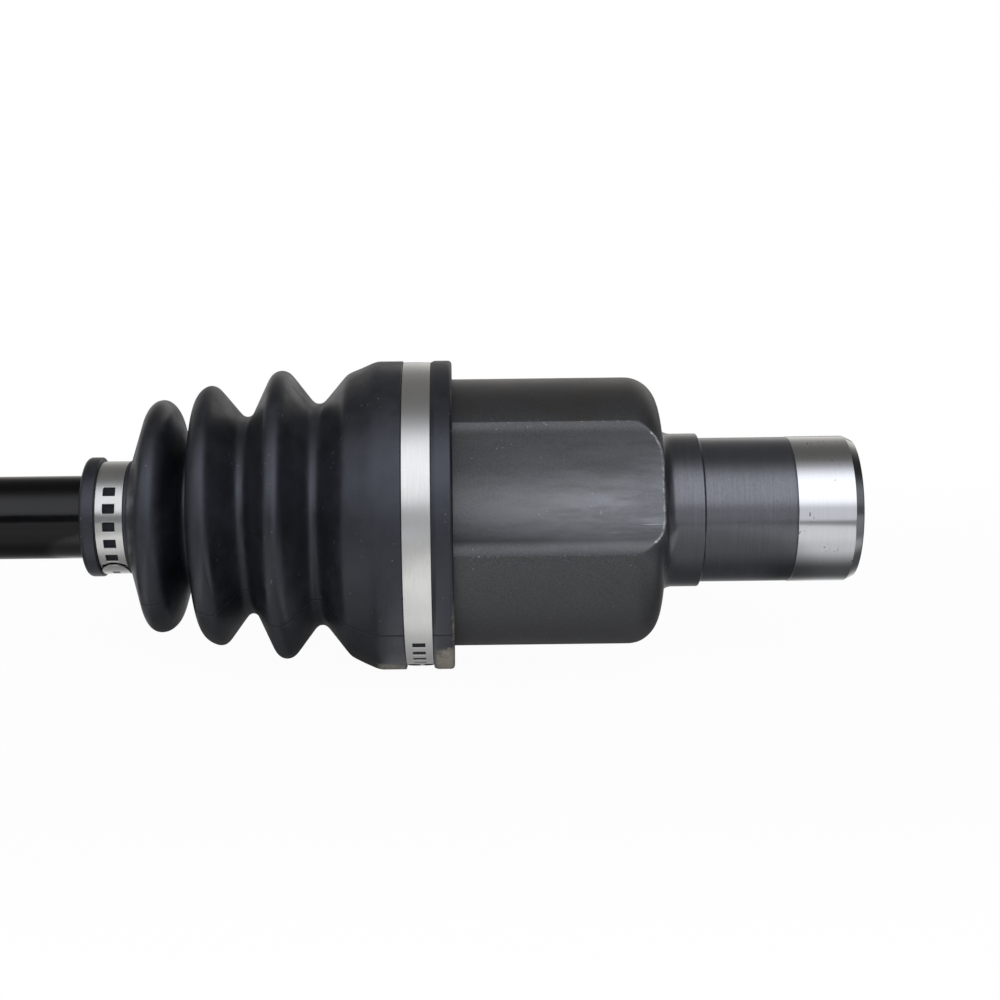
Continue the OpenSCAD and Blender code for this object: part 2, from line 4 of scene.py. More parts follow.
import bmesh
import bpy
import numpy as np
from mathutils import Matrix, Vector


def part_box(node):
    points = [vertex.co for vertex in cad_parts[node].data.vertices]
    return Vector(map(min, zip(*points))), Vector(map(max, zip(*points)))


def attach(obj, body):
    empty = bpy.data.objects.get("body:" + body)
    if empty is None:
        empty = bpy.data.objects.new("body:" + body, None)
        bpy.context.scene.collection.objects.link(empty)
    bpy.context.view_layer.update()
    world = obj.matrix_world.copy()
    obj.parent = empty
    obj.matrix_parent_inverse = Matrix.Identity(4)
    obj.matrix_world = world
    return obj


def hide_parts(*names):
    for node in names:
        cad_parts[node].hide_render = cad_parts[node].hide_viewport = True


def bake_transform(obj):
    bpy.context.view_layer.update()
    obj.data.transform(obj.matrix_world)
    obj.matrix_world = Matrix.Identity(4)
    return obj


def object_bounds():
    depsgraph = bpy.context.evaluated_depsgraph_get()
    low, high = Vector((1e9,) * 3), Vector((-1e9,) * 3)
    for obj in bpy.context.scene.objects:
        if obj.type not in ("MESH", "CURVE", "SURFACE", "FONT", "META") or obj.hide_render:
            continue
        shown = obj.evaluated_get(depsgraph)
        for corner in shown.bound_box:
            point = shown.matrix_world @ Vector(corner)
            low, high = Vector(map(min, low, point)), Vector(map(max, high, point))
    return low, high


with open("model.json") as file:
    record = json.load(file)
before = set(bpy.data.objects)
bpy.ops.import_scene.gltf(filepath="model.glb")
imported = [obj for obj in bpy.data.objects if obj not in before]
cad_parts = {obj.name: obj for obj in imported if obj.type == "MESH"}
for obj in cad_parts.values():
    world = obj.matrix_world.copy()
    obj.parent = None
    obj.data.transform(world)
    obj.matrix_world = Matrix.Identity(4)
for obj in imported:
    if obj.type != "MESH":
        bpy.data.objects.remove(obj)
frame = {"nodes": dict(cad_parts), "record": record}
cadLow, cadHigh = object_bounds()
print("stage: frame loaded")

mm = 0.001
fullTurn = 2 * math.pi
viewElevation = math.radians(18.7)
nodes = frame["nodes"]


def span(node):
    # the node's reach along the shaft, in millimetres
    low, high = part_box(node)
    return low.x / mm, high.x / mm


# meshes from grids
meshing = {"joinWithin": 1e-7, "flatWithin": 1e-8}


def gridMesh(name, grid, looks, body=None, zones=None, marks=None, sharp=32):
    # grid[i, j] holds points in millimetres, i along the profile and j round the shaft. Each cell is one
    # quad, and the grid closes on itself both ways. zones gives each row's place in looks, and marks
    # holds values per point that the looks read
    rows, cols = grid.shape[:2]
    i = np.arange(rows)[:, None]
    j = np.arange(cols)[None, :]
    nextI, nextJ = (i + 1) % rows, (j + 1) % cols
    quads = np.stack([i * cols + j, i * cols + nextJ, nextI * cols + nextJ, nextI * cols + j], -1)
    quads = quads.reshape(-1, 4)
    mesh = bpy.data.meshes.new(name)
    mesh.vertices.add(rows * cols)
    mesh.vertices.foreach_set("co", (grid.reshape(-1, 3) * mm).ravel())
    mesh.loops.add(quads.size)
    mesh.loops.foreach_set("vertex_index", quads.ravel().astype(np.int32))
    mesh.polygons.add(len(quads))
    mesh.polygons.foreach_set("loop_start", np.arange(0, quads.size, 4, dtype=np.int32))
    if zones is not None:
        mesh.polygons.foreach_set("material_index", np.repeat(zones, cols).astype(np.int32))
    for look in looks:
        mesh.materials.append(finish[look])
    mesh.update(calc_edges=True)
    for markName, value in (marks or {}).items():
        layer = mesh.attributes.new(markName, "FLOAT", "POINT")
        layer.data.foreach_set("value", np.broadcast_to(value, (rows, cols)).astype(np.float32).ravel())
    return finishMesh(name, mesh, body, sharp)


def finishMesh(name, mesh, body, sharp):
    # joins what coincides, drops flat cells, shades smooth and keeps corners sharp past an angle
    work = bmesh.new()
    work.from_mesh(mesh)
    bmesh.ops.remove_doubles(work, verts=work.verts, dist=meshing["joinWithin"])
    bmesh.ops.dissolve_degenerate(work, edges=work.edges, dist=meshing["flatWithin"])
    work.to_mesh(mesh)
    work.free()
    mesh.polygons.foreach_set("use_smooth", np.ones(len(mesh.polygons), dtype=bool))
    mesh.set_sharp_from_angle(angle=math.radians(sharp))
    mesh.validate()
    piece = bpy.data.objects.new(name, mesh)
    bpy.context.scene.collection.objects.link(piece)
    if body:
        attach(piece, body)
    return piece


def ringGrid(x, r, turn):
    # a point x along the shaft and r out from it, at each turn round it
    x, r, turn = np.broadcast_arrays(x, r, turn)
    return np.stack([x, r * np.cos(turn), r * np.sin(turn)], -1)


def rounded(corners, steps=4, guard=0.12):
    # a path of [x, radius, corner radius]: each corner becomes an arc that touches both sides, with
    # one more point just beyond each end of it so that the flats stay flat in the shading
    nearlyStraight = 1.55
    out = []
    for k, (x, r, bend) in enumerate(corners):
        here = np.array([x, r], float)
        if bend <= 0 or k in (0, len(corners) - 1):
            out.append(here)
            continue
        back = np.array(corners[k - 1][:2], float) - here
        on = np.array(corners[k + 1][:2], float) - here
        back, on = back / np.linalg.norm(back), on / np.linalg.norm(on)
        half = math.acos(np.clip(back @ on, -1, 1)) / 2
        if half > nearlyStraight:
            out.append(here)
            continue
        cut = bend / math.tan(half)
        centre = here + (back + on) / np.linalg.norm(back + on) * bend / math.sin(half)
        first, last = here + back * cut - centre, here + on * cut - centre
        swing = math.pi - 2 * half
        t = np.linspace(0, 1, steps + 1)[:, None]
        arcPart = (np.sin((1 - t) * swing) * first + np.sin(t * swing) * last) / math.sin(swing)
        out += [here + back * (cut + guard)] + list(centre + arcPart) + [here + on * (cut + guard)]
    return np.array(out)


# materials: in a look each noise is (scale, detail, roughness), and a name with At is the range of a
# smooth rise, with the values it goes between where they aren't 0 and 1
def newMaterial(name):
    material = bpy.data.materials.new(name)
    material.use_nodes = True
    tree = material.node_tree
    return material, tree, tree.nodes["Principled BSDF"]


def feed(tree, node, inputs):
    # an input takes another node's output or a plain value
    for key, value in inputs.items():
        if isinstance(value, bpy.types.NodeSocket):
            tree.links.new(value, node.inputs[key])
        else:
            node.inputs[key].default_value = value


def put(tree, kind, inputs=None, **settings):
    node = tree.nodes.new(kind)
    for key, value in settings.items():
        setattr(node, key, value)
    feed(tree, node, inputs or {})
    return node


def calc(tree, operation, a, b=0.0):
    return put(tree, "ShaderNodeMath", {0: a, 1: b}, operation=operation).outputs[0]


def times(tree, a, b):
    return calc(tree, "MULTIPLY", a, b)


def plus(tree, a, b):
    return calc(tree, "ADD", a, b)


def minus(tree, a, b):
    return calc(tree, "SUBTRACT", a, b)


def noise(tree, where, scale, detail=2.0, rough=0.5):
    inputs = {"Vector": where, "Scale": scale, "Detail": detail, "Roughness": rough}
    return put(tree, "ShaderNodeTexNoise", inputs).outputs["Fac"]


def stepUp(tree, value, low, high, toLow=0.0, toHigh=1.0):
    # a smooth rise from toLow to toHigh while value goes from low to high
    inputs = {0: value, 1: low, 2: high, 3: toLow, 4: toHigh}
    return put(tree, "ShaderNodeMapRange", inputs, interpolation_type="SMOOTHSTEP").outputs[0]


def blendColor(tree, share, first, second):
    colors = [c if isinstance(c, bpy.types.NodeSocket) else (*c, 1.0) for c in (first, second)]
    inputs = {0: share, 6: colors[0], 7: colors[1]}
    return put(tree, "ShaderNodeMix", inputs, data_type="RGBA").outputs[2]


def places(tree, stretch=(1, 1, 1)):
    # object coordinates, in metres, stretched along X, Y or Z
    coords = put(tree, "ShaderNodeTexCoord").outputs["Object"]
    return put(tree, "ShaderNodeMapping", {0: coords, 3: stretch}).outputs[0]


def aroundShaft(tree, along, across):
    # rings round the shaft: distance along it times along, and the direction out from it times across
    coords = put(tree, "ShaderNodeTexCoord").outputs["Object"]
    parts = put(tree, "ShaderNodeSeparateXYZ", {0: coords})
    angle = calc(tree, "ARCTAN2", parts.outputs["Z"], parts.outputs["Y"])
    inputs = {0: times(tree, parts.outputs["X"], along),
              1: times(tree, calc(tree, "COSINE", angle), across),
              2: times(tree, calc(tree, "SINE", angle), across)}
    return put(tree, "ShaderNodeCombineXYZ", inputs).outputs[0]


def motes(tree, where, scale, size, patches, patchesAt):
    # small round spots of an even size, kept only inside soft patches
    inputs = {"Vector": where, "Scale": scale}
    spot = put(tree, "ShaderNodeTexVoronoi", inputs, feature="F1").outputs["Distance"]
    patch = stepUp(tree, noise(tree, where, *patches), *patchesAt)
    return times(tree, stepUp(tree, spot, *size), patch)


def dress(tree, shader, look, color, rough, height):
    # colour, roughness and height are patterns or plain values, and the look holds the rest
    names = {"metallic": "Metallic", "specular": "Specular IOR Level", "sheen": "Specular Tint"}
    plain = {names[key]: look[key] for key in names if key in look}
    relief = {"Height": height, "Distance": look["bump"], "Strength": look.get("bumpShare", 1.0)}
    normal = put(tree, "ShaderNodeBump", relief).outputs[0]
    feed(tree, shader, {"Base Color": color, "Roughness": rough, "Normal": normal, **plain})


def mark(tree, name):
    return put(tree, "ShaderNodeAttribute", attribute_name=name).outputs["Fac"]


def toneBy(tree, pattern, look):
    # from the look's dark to its pale colour with the pattern
    return blendColor(tree, stepUp(tree, pattern, *look["at"]), look["dark"], look["pale"])


def forgedSkin():
    # phosphated forging: dark grey with a fine speckle, brownish blotches on the upper side that are a
    # painted warm shade, brighter and smoother where it is rubbed, that brightness partly a painted bluish
    # highlight, with smears along the shaft, worn edges with a painted highlight along the trough creases,
    # dust and a few scratches
    look = {"dark": (0.074, 0.0745, 0.079), "pale": (0.106, 0.108, 0.115), "rubbedAndHighlight": (0.240, 0.250, 0.275),
            "brownShade": (0.088, 0.080, 0.070), "worn": (0.5, 0.51, 0.53), "metallic": 0.76, "bump": 0.00003,
            "speck": (2600, 3, 0.7), "speckAt": (0.35, 0.72), "blotch": (55, 4, 0.6),
            "brownShadeAt": (0.50, 0.68, 0.0, 0.6), "brownShadeAbove": (-0.004, 0.010),
            "smear": (26, 120, 120), "smearNoise": (1.0, 6, 0.66), "smearAt": (0.36, 0.64, 0.35, 1.05),
            "scratch": (40, 620, 620), "scratchNoise": (1.0, 2, 0.5), "scratchAt": (0.66, 0.73),
            "scratchWhereRubbed": (0.55, 0.8), "scratchShare": 0.45, "scratchDepth": -1.5,
            "chip": (900, 4, 0.7), "chipShare": 1.3, "rimAt": (0.55, 0.95),
            "dust": (520, (0.13, 0.05), (120, 1, 0.5), (0.58, 0.66)), "dustShare": 0.35,
            "roughAt": (0.2, 0.8, 0.45, 0.37), "rubbedSmoother": 0.07}
    material, tree, shader = newMaterial("forgedSkin")
    where = places(tree)
    speck = noise(tree, where, *look["speck"])
    blotch = noise(tree, where, *look["blotch"])
    smear = noise(tree, places(tree, look["smear"]), *look["smearNoise"])
    color = blendColor(tree, stepUp(tree, speck, *look["speckAt"]), look["dark"], look["pale"])
    # painted warm shade: brownish blotches shown only on the upper side, where the part faces up
    height = put(tree, "ShaderNodeSeparateXYZ", {0: where}).outputs["Z"]
    above = stepUp(tree, height, *look["brownShadeAbove"])
    brownShade = times(tree, stepUp(tree, blotch, *look["brownShadeAt"]), above)
    color = blendColor(tree, brownShade, color, look["brownShade"])
    # painted bluish highlight on the rubbed troughs, together with their real rubbed wear
    rubAndHighlight = times(tree, mark(tree, "rubAndHighlight"), stepUp(tree, smear, *look["smearAt"]))
    color = blendColor(tree, rubAndHighlight, color, look["rubbedAndHighlight"])
    scratchMap = noise(tree, places(tree, look["scratch"]), *look["scratchNoise"])
    whereRubbed = stepUp(tree, mark(tree, "rubAndHighlight"), *look["scratchWhereRubbed"])
    scratch = times(tree, stepUp(tree, scratchMap, *look["scratchAt"]), whereRubbed)
    chip = minus(tree, noise(tree, where, *look["chip"]), 0.5)
    # the wear mark holds real worn edges and a painted highlight line along the trough creases
    edge = plus(tree, mark(tree, "wear"), times(tree, chip, look["chipShare"]))
    wornAndLitEdges = stepUp(tree, edge, *look["rimAt"])
    dust = motes(tree, where, *look["dust"])
    bright = calc(tree, "MAXIMUM", wornAndLitEdges, times(tree, dust, look["dustShare"]))
    bright = calc(tree, "MAXIMUM", bright, times(tree, scratch, look["scratchShare"]))
    smoother = times(tree, rubAndHighlight, look["rubbedSmoother"])
    rough = minus(tree, stepUp(tree, blotch, *look["roughAt"]), smoother)
    relief = plus(tree, speck, times(tree, scratch, look["scratchDepth"]))
    dress(tree, shader, look, blendColor(tree, bright, color, look["worn"]), rough, relief)
    return material


def turnedDark():
    # fine-turned dark steel: close faint rings round the shaft
    look = {"dark": (0.104, 0.107, 0.119), "pale": (0.150, 0.155, 0.173), "at": (0.3, 0.7),
            "metallic": 0.8, "rough": 0.22, "bump": 0.000014, "rings": (3800, 1.2),
            "ringNoise": (1.0, 3, 0.6), "fine": (2400, 2, 0.6), "ringShare": 0.5}
    material, tree, shader = newMaterial("turnedDark")
    rings = noise(tree, aroundShaft(tree, *look["rings"]), *look["ringNoise"])
    fine = noise(tree, places(tree), *look["fine"])
    mixed = plus(tree, times(tree, rings, look["ringShare"]), times(tree, fine, 1 - look["ringShare"]))
    dress(tree, shader, look, toneBy(tree, mixed, look), look["rough"], mixed)
    return material


def groundSteel():
    # ground journal: bright and nearly mirror smooth, with hair-fine rings and a few small pits
    look = {"dark": (0.565, 0.575, 0.595), "pale": (0.60, 0.61, 0.63), "pit": (0.16, 0.15, 0.14),
            "at": (0.3, 0.7), "metallic": 1.0, "rough": 0.15, "bump": 0.0000007, "rings": (5200, 1.6),
            "ringNoise": (1.0, 3, 0.65), "pits": (950, (0.30, 0.16), (150, 2, 0.6), (0.60, 0.68))}
    material, tree, shader = newMaterial("groundSteel")
    rings = noise(tree, aroundShaft(tree, *look["rings"]), *look["ringNoise"])
    pits = motes(tree, places(tree), *look["pits"])
    color = blendColor(tree, pits, toneBy(tree, rings, look), look["pit"])
    dress(tree, shader, look, color, look["rough"], rings)
    return material


def cutSteel():
    # machined faces, splines and thread: plain grey with tool marks
    look = {"dark": (0.20, 0.203, 0.21), "pale": (0.34, 0.345, 0.355), "at": (0.25, 0.75),
            "metallic": 0.95, "rough": 0.36, "bump": 0.00002, "rings": (1500, 3), "ringNoise": (1.0, 3, 0.6)}
    material, tree, shader = newMaterial("cutSteel")
    rings = noise(tree, aroundShaft(tree, *look["rings"]), *look["ringNoise"])
    dress(tree, shader, look, toneBy(tree, rings, look), look["rough"], rings)
    return material


def clampSteel():
    # rolled stainless strip: satin, with faint lines that run round the band and softer smears
    look = {"dark": (0.53, 0.528, 0.52), "pale": (0.60, 0.598, 0.59), "at": (0.3, 0.7),
            "metallic": 0.84, "roughAt": (0.2, 0.8, 0.24, 0.18), "bump": 0.000002, "lines": (3000, 5),
            "lineNoise": (1.0, 3, 0.6), "smear": (60, 3, 0.5), "lineShare": 0.35}
    material, tree, shader = newMaterial("clampSteel")
    lines = noise(tree, aroundShaft(tree, *look["lines"]), *look["lineNoise"])
    smear = noise(tree, places(tree), *look["smear"])
    mixed = plus(tree, times(tree, lines, look["lineShare"]), times(tree, smear, 1 - look["lineShare"]))
    dress(tree, shader, look, toneBy(tree, mixed, look), stepUp(tree, smear, *look["roughAt"]), lines)
    return material


def blackPaint():
    # gloss black bar with a slight orange peel and fine paler grit
    look = {"dark": (0.0022, 0.0022, 0.0026), "pale": (0.012, 0.012, 0.013), "at": (0.66, 0.8),
            "specular": 0.38, "roughAt": (0.2, 0.8, 0.09, 0.14), "peel": (330, 2, 0.5),
            "grit": (1500, 2, 0.6), "bump": 0.00004, "bumpShare": 0.5}
    material, tree, shader = newMaterial("blackPaint")
    where = places(tree)
    peel = noise(tree, where, *look["peel"])
    color = toneBy(tree, noise(tree, where, *look["grit"]), look)
    dress(tree, shader, look, color, stepUp(tree, peel, *look["roughAt"]), peel)
    return material


def bootRubber():
    # black rubber with a bluish grey bloom, fine grain, dust, tan scuffs under the large end, and a painted
    # shade along the parting line's groove and on the seats under the clamps
    look = {"base": (0.0076, 0.0080, 0.0104), "bloom": (0.0178, 0.0180, 0.0222),
            "dustColor": (0.16, 0.15, 0.135), "scuff": (0.36, 0.33, 0.26), "paintedShade": (0.0015, 0.0015, 0.002),
            "sheen": (0.80, 0.86, 1.0, 1.0), "specular": 0.78, "bump": 0.00003, "grain": (1900, 3, 0.6),
            "cloud": (46, 6, 0.68), "cloudAt": (0.38, 0.64), "swirl": (420, 9), "swirlNoise": (1.0, 3, 0.6),
            "swirlAt": (0.3, 0.7, 0.3, 1.0), "dust": (420, (0.13, 0.05), (130, 1, 0.5), (0.50, 0.60)),
            "dustShare": 0.65, "scuffFine": (900, 4, 0.7), "scuffWide": (210, 3, 0.6), "fineShare": 0.6,
            "scuffSpread": 2.2, "scuffAt": (0.25, 1.05), "scuffFrom": (0.02, 0.2),
            "roughAt": (0.36, 0.64, 0.33, 0.50), "dullAdds": 0.4, "swirlHeight": 0.6, "cloudHeight": 4.0}
    material, tree, shader = newMaterial("bootRubber")
    where = places(tree)
    grain = noise(tree, where, *look["grain"])
    cloud = noise(tree, where, *look["cloud"])
    swirl = noise(tree, aroundShaft(tree, *look["swirl"]), *look["swirlNoise"])
    bloom = times(tree, stepUp(tree, cloud, *look["cloudAt"]), stepUp(tree, swirl, *look["swirlAt"]))
    color = blendColor(tree, bloom, look["base"], look["bloom"])
    dust = motes(tree, where, *look["dust"])
    scuffMap = plus(tree, times(tree, noise(tree, where, *look["scuffFine"]), look["fineShare"]),
                    times(tree, noise(tree, where, *look["scuffWide"]), 1 - look["fineShare"]))
    wear = mark(tree, "wear")
    worn = plus(tree, wear, times(tree, minus(tree, scuffMap, 0.5), look["scuffSpread"]))
    scuff = times(tree, stepUp(tree, worn, *look["scuffAt"]), stepUp(tree, wear, *look["scuffFrom"]))
    seamShade = mark(tree, "seamShade")
    color = blendColor(tree, times(tree, dust, look["dustShare"]), color, look["dustColor"])
    color = blendColor(tree, scuff, color, look["scuff"])
    # painted shade along the parting line's groove and on the seats under the clamps
    color = blendColor(tree, seamShade, color, look["paintedShade"])
    dull = times(tree, calc(tree, "MAXIMUM", seamShade, scuff), look["dullAdds"])
    rough = plus(tree, stepUp(tree, cloud, *look["roughAt"]), dull)
    waves = plus(tree, times(tree, swirl, look["swirlHeight"]), times(tree, cloud, look["cloudHeight"]))
    dress(tree, shader, look, color, rough, plus(tree, grain, waves))
    return material


finish = {"forged": forgedSkin(), "turned": turnedDark(), "ground": groundSteel(), "cut": cutSteel(),
          "clamp": clampSteel(), "paint": blackPaint(), "rubber": bootRubber()}
print("stage: materials ready")

# tripod housing: lengths in millimetres; edge rounds the rim between the lobes and the back
troughs = np.radians([30.2, 150.2, 270.2])
tracks = np.radians([90, 210, 330])
housing = {"radius": 38.65, "troughRadius": 28.5, "troughDepth": 9.4, "lobeRound": 6.5, "over": 0.4,
           "backRound": 9.0, "fillet": 4.5, "collar": 22.2, "turned": 20.86, "journal": 21.0,
           "journalEnd": -18.7, "undercut": 0.18, "step": 0.5, "chamfer": (2.5, 1.25), "stub": -44.4,
           "back": -56.6, "floor": -62.5, "mouth": span("tripod_housing")[0], "mouthBevel": 1.0,
           "trackHalf": 15.5, "trackPitch": 23.5, "trackTop": 32.93, "land": 21.0, "flare": 26.2,
           "flareLength": 18.0, "pilot": 16.5, "pilotDepth": 6.0, "sleeve": 16.25, "sleeveEnd": -48.4,
           "throat": 14.5, "plug": 17.0, "bevel": 0.6, "floorBevel": 0.4, "edge": 1.0, "turnedRows": 16}

# marks for the forged finish: depths and places in millimetres, shares of wear and rub, with a painted
# highlight along the creases and in the rubbed troughs
housingMarks = {"worn": (0.4, 1.5), "creaseWearAndHighlight": 0.5, "creaseWidth": 0.02, "rimWear": (0.45, 0.4),
                "backWear": (0.25, 14), "rubbedAndHighlight": (0.3, 3), "rubAndHighlightLow": (0.72, 0.9, 0.3, 1.1),
                "rubAndHighlightAlong": (118, 62, 0.18)}


def offFrom(turn, dirs):
    # the angle to the nearest of three directions, with its sign
    gaps = (turn[:, None] - dirs[None, :] + math.pi) % fullTurn - math.pi
    return gaps[np.arange(len(turn)), np.abs(gaps).argmin(1)]


def lobeRadius(turn, h=housing):
    # polar radius of the lobed section: the near side of the hollow's circle, whose centre lies out
    # along the trough, a corner arc that touches it, and the turned outside that cuts the corner off.
    # Also a mark for worn edges and a painted highlight line that peaks on the cut corner, and the corner's
    # angle from the trough
    off = np.abs(offFrom(turn, troughs))
    away = h["radius"] - h["troughDepth"] + h["troughRadius"]
    mid = h["radius"] - h["lobeRound"] + h["over"]
    total = h["troughRadius"] + h["lobeRound"]
    swing = math.acos((mid ** 2 + away ** 2 - total ** 2) / (2 * away * mid))
    centre = mid * np.array([math.cos(swing), math.sin(swing)])
    touch = centre + (np.array([away, 0]) - centre) * h["lobeRound"] / total
    bend = math.atan2(touch[1], touch[0])
    inHollow = h["troughRadius"] ** 2 - (away * np.sin(off)) ** 2
    hollow = away * np.cos(off) - np.sqrt(np.clip(inHollow, 0, None))
    inCorner = h["lobeRound"] ** 2 - (mid * np.sin(off - swing)) ** 2
    corner = mid * np.cos(off - swing) + np.sqrt(np.clip(inCorner, 0, None))
    cut = swing - math.acos((mid ** 2 + h["radius"] ** 2 - h["lobeRound"] ** 2) / (2 * mid * h["radius"]))
    edge = np.exp(-((off - cut) / housingMarks["creaseWidth"]) ** 2)
    lobe = np.where(off < bend, hollow, np.where(off < cut, corner, h["radius"]))
    return lobe, edge, cut


def trackRadius(turn, h=housing):
    # polar radius of the space inside: three flat-topped round tracks with parallel lower walls
    off = np.abs(offFrom(turn, tracks))
    half, pitch = h["trackHalf"], h["trackPitch"]
    wall = half / np.maximum(np.sin(off), 1e-6)
    reach = math.pi / 3 + 0.1
    ball = pitch * np.cos(off) + np.sqrt(np.clip(half ** 2 - (pitch * np.sin(off)) ** 2, 0, None))
    top = h["trackTop"] / np.cos(off)
    slot = np.where(off < math.atan2(half, pitch), np.minimum(ball, top), wall)
    return np.maximum(np.where(off < reach, slot, 0), h["land"])


def housingTurns():
    # turns round the shaft, close together beside the troughs' corners: one half of a trough's third,
    # its mirror image, and both three times
    crease = math.degrees(lobeRadius(np.zeros(1))[2])
    nearCorner = 18
    hollow = np.linspace(0, nearCorner, 22)
    corner = np.linspace(nearCorner + 0.7, crease - 0.2, 26)
    lobe = np.linspace(crease + 1, 60, 24)
    third = np.concatenate([hollow, corner, [crease, crease + 0.25], lobe])
    third = np.concatenate([third, 120 - third[-2:0:-1]])
    return troughs[0] + np.radians(np.concatenate([third + 120 * k for k in range(3)]))


def backProfile(h=housing):
    # the turned back: a quarter round from the lobes, the flat back face and the collar's root fillet
    arcAngle = np.linspace(math.pi / 2, 0, 40)
    rootAngle = arcAngle[::-1][1:]
    low = h["radius"] - h["backRound"]
    root = h["collar"] + h["fillet"]
    flatRows = 8
    return np.concatenate([
        np.stack([h["back"] - h["backRound"] + h["backRound"] * np.cos(arcAngle),
                  low + h["backRound"] * np.sin(arcAngle)], 1),
        np.stack([np.full(flatRows, h["back"]), np.linspace(low, root, flatRows + 1)[1:]], 1),
        np.stack([h["back"] + h["fillet"] * (1 - np.cos(rootAngle)),
                  root - h["fillet"] * np.sin(rootAngle)], 1)])


def stubProfile(h=housing):
    # collar, turned stretch, undercut, journal, chamfered end face, pilot bore, sleeve and plug seat
    end, low = h["journalEnd"], h["turned"] - h["undercut"]
    corners = [[h["back"] + h["fillet"], h["collar"], 0], [h["stub"] - h["step"], h["collar"], 0.25],
               [h["stub"], h["turned"], 0.3], [end - 0.35, h["turned"], 0.08], [end - 0.25, low, 0.05],
               [end, low, 0.05], [end + 0.15, h["journal"], 0.1], [-h["chamfer"][0], h["journal"], 0.5],
               [0, h["journal"] - h["chamfer"][1], 0.35], [0, h["pilot"] + h["bevel"], 0.15],
               [-h["bevel"], h["pilot"], 0.1], [-h["pilotDepth"], h["pilot"], 0.1],
               [-h["pilotDepth"], h["sleeve"], 0.0], [h["sleeveEnd"], h["sleeve"], 0.0],
               [h["sleeveEnd"], h["throat"], 0.2], [h["back"] + 2, h["throat"], 0.2],
               [h["back"] + 1, h["plug"], 0.0], [h["floor"], h["plug"], 0.2]]
    return rounded(corners, 4, 0.08)[1:]


def makeHousing(h=housing, m=housingMarks):
    # one closed skin: mouth, lobed outside, back rounding, stub, end face, bore, plug seat, tracks.
    # At each turn the outside keeps the lobe radius until it meets the turned back profile, and a
    # curve with its middle point there rounds the rim
    turn = housingTurns()
    lobe, edge, _ = lobeRadius(turn)
    track = trackRadius(turn)
    curve = backProfile()
    run = np.concatenate([[0], np.cumsum(np.hypot(*np.diff(curve, axis=0).T))])
    mouth = h["mouth"]

    def along(s):
        return np.interp(s, run, curve[:, 0]), np.interp(s, run, curve[:, 1])

    meet = np.interp(-lobe, -curve[:, 1], run)
    meetX = along(meet)[0]
    e = h["edge"]
    rows = []

    def station(x, r, worn=0.0):
        rows.append([np.broadcast_to(value, turn.shape).astype(float) for value in (x, r, worn)])

    station(mouth, lobe - h["mouthBevel"])
    station(mouth + h["mouthBevel"], lobe)
    inTrough = np.clip((h["radius"] - m["worn"][0] - lobe) / m["worn"][1], 0, 1)
    # worn crease edges, with a painted highlight line along each crease
    lines = edge * m["creaseWearAndHighlight"]
    straight = meetX - e - mouth - h["mouthBevel"]
    for share in (0.02, 0.3, 0.55, 0.78, 0.92):
        station(mouth + h["mouthBevel"] + straight * share, lobe, lines)
    offX, offR = along(meet + e)
    for t in np.linspace(0, 1, 9):
        rimWear = inTrough * (m["rimWear"][0] + m["rimWear"][1] * math.sin(math.pi * t))
        station((1 - t) ** 2 * (meetX - e) + 2 * t * (1 - t) * meetX + t * t * offX,
                (1 - t) ** 2 * lobe + 2 * t * (1 - t) * lobe + t * t * offR, np.maximum(lines, rimWear))
    for share in np.linspace(0, 1, 34)[1:]:
        backWear = m["backWear"][0] * inTrough * math.exp(-m["backWear"][1] * share)
        station(*along(meet + e + (run[-1] - meet - e) * share), backWear)
    forgedRows = len(rows)
    for x, r in stubProfile():
        station(x, r)
    station(h["floor"], h["plug"] + 1.0)
    station(h["floor"], np.maximum(track, h["land"]) - h["floorBevel"])
    station(h["floor"] - h["floorBevel"], track)
    for x in (-80, -100, mouth + h["flareLength"], mouth + h["flareLength"] / 2, mouth + h["bevel"]):
        flare = h["land"] + (h["flare"] - h["land"]) * max(0, 1 - (x - mouth) / h["flareLength"])
        station(x, np.maximum(track, flare))
    station(mouth, np.maximum(track, h["flare"]) + h["bevel"])
    alongs, radii, wears = np.array(rows).transpose(1, 0, 2)

    # the troughs are rubbed and carry a painted bluish highlight, both most on the side that lies low in the
    # camera's view and towards the back
    middle, slope, least, most = m["rubAndHighlightLow"]
    lower = np.clip(middle + slope * offFrom(turn, troughs), least, most)
    hollowed = np.clip((h["radius"] - m["rubbedAndHighlight"][0] - lobe) / m["rubbedAndHighlight"][1], 0, 1)
    rubAndHighlightFrom, rubAndHighlightOver, rubAndHighlightLeast = m["rubAndHighlightAlong"]
    rubAndHighlight = (hollowed * lower)[None, :] * np.clip((alongs + rubAndHighlightFrom) / rubAndHighlightOver, rubAndHighlightLeast, 1)

    # zones along the profile: forged, turned, ground journal, turned chamfer, cut inside
    rowX = alongs[:, 0]
    index = np.arange(len(rows))
    zones = np.zeros(len(rows), int)
    zones[(index >= forgedRows - h["turnedRows"]) & (rowX < h["journalEnd"] + 0.02)] = 1
    onStub = index >= forgedRows - 1
    journalFrom, journalTo = h["journalEnd"] + 0.02, 0.3 - h["chamfer"][0]
    zones[onStub & (rowX >= journalFrom) & (rowX < journalTo) & (radii[:, 0] > h["pilot"] + 3)] = 2
    zones[onStub & (rowX >= journalTo)] = 1
    zones[int(np.argmax(rowX)):] = 3
    return gridMesh("tripodHousing", ringGrid(alongs, radii, turn),
                    ("forged", "turned", "ground", "cut"), "tripod", zones=zones,
                    marks={"wear": wears, "rubAndHighlight": rubAndHighlight}, sharp=28)


socket = {"teeth": 27, "root": 14.5, "tip": 15.9, "perTooth": 12, "flank": (0.42, 0.2), "start": -44.4}


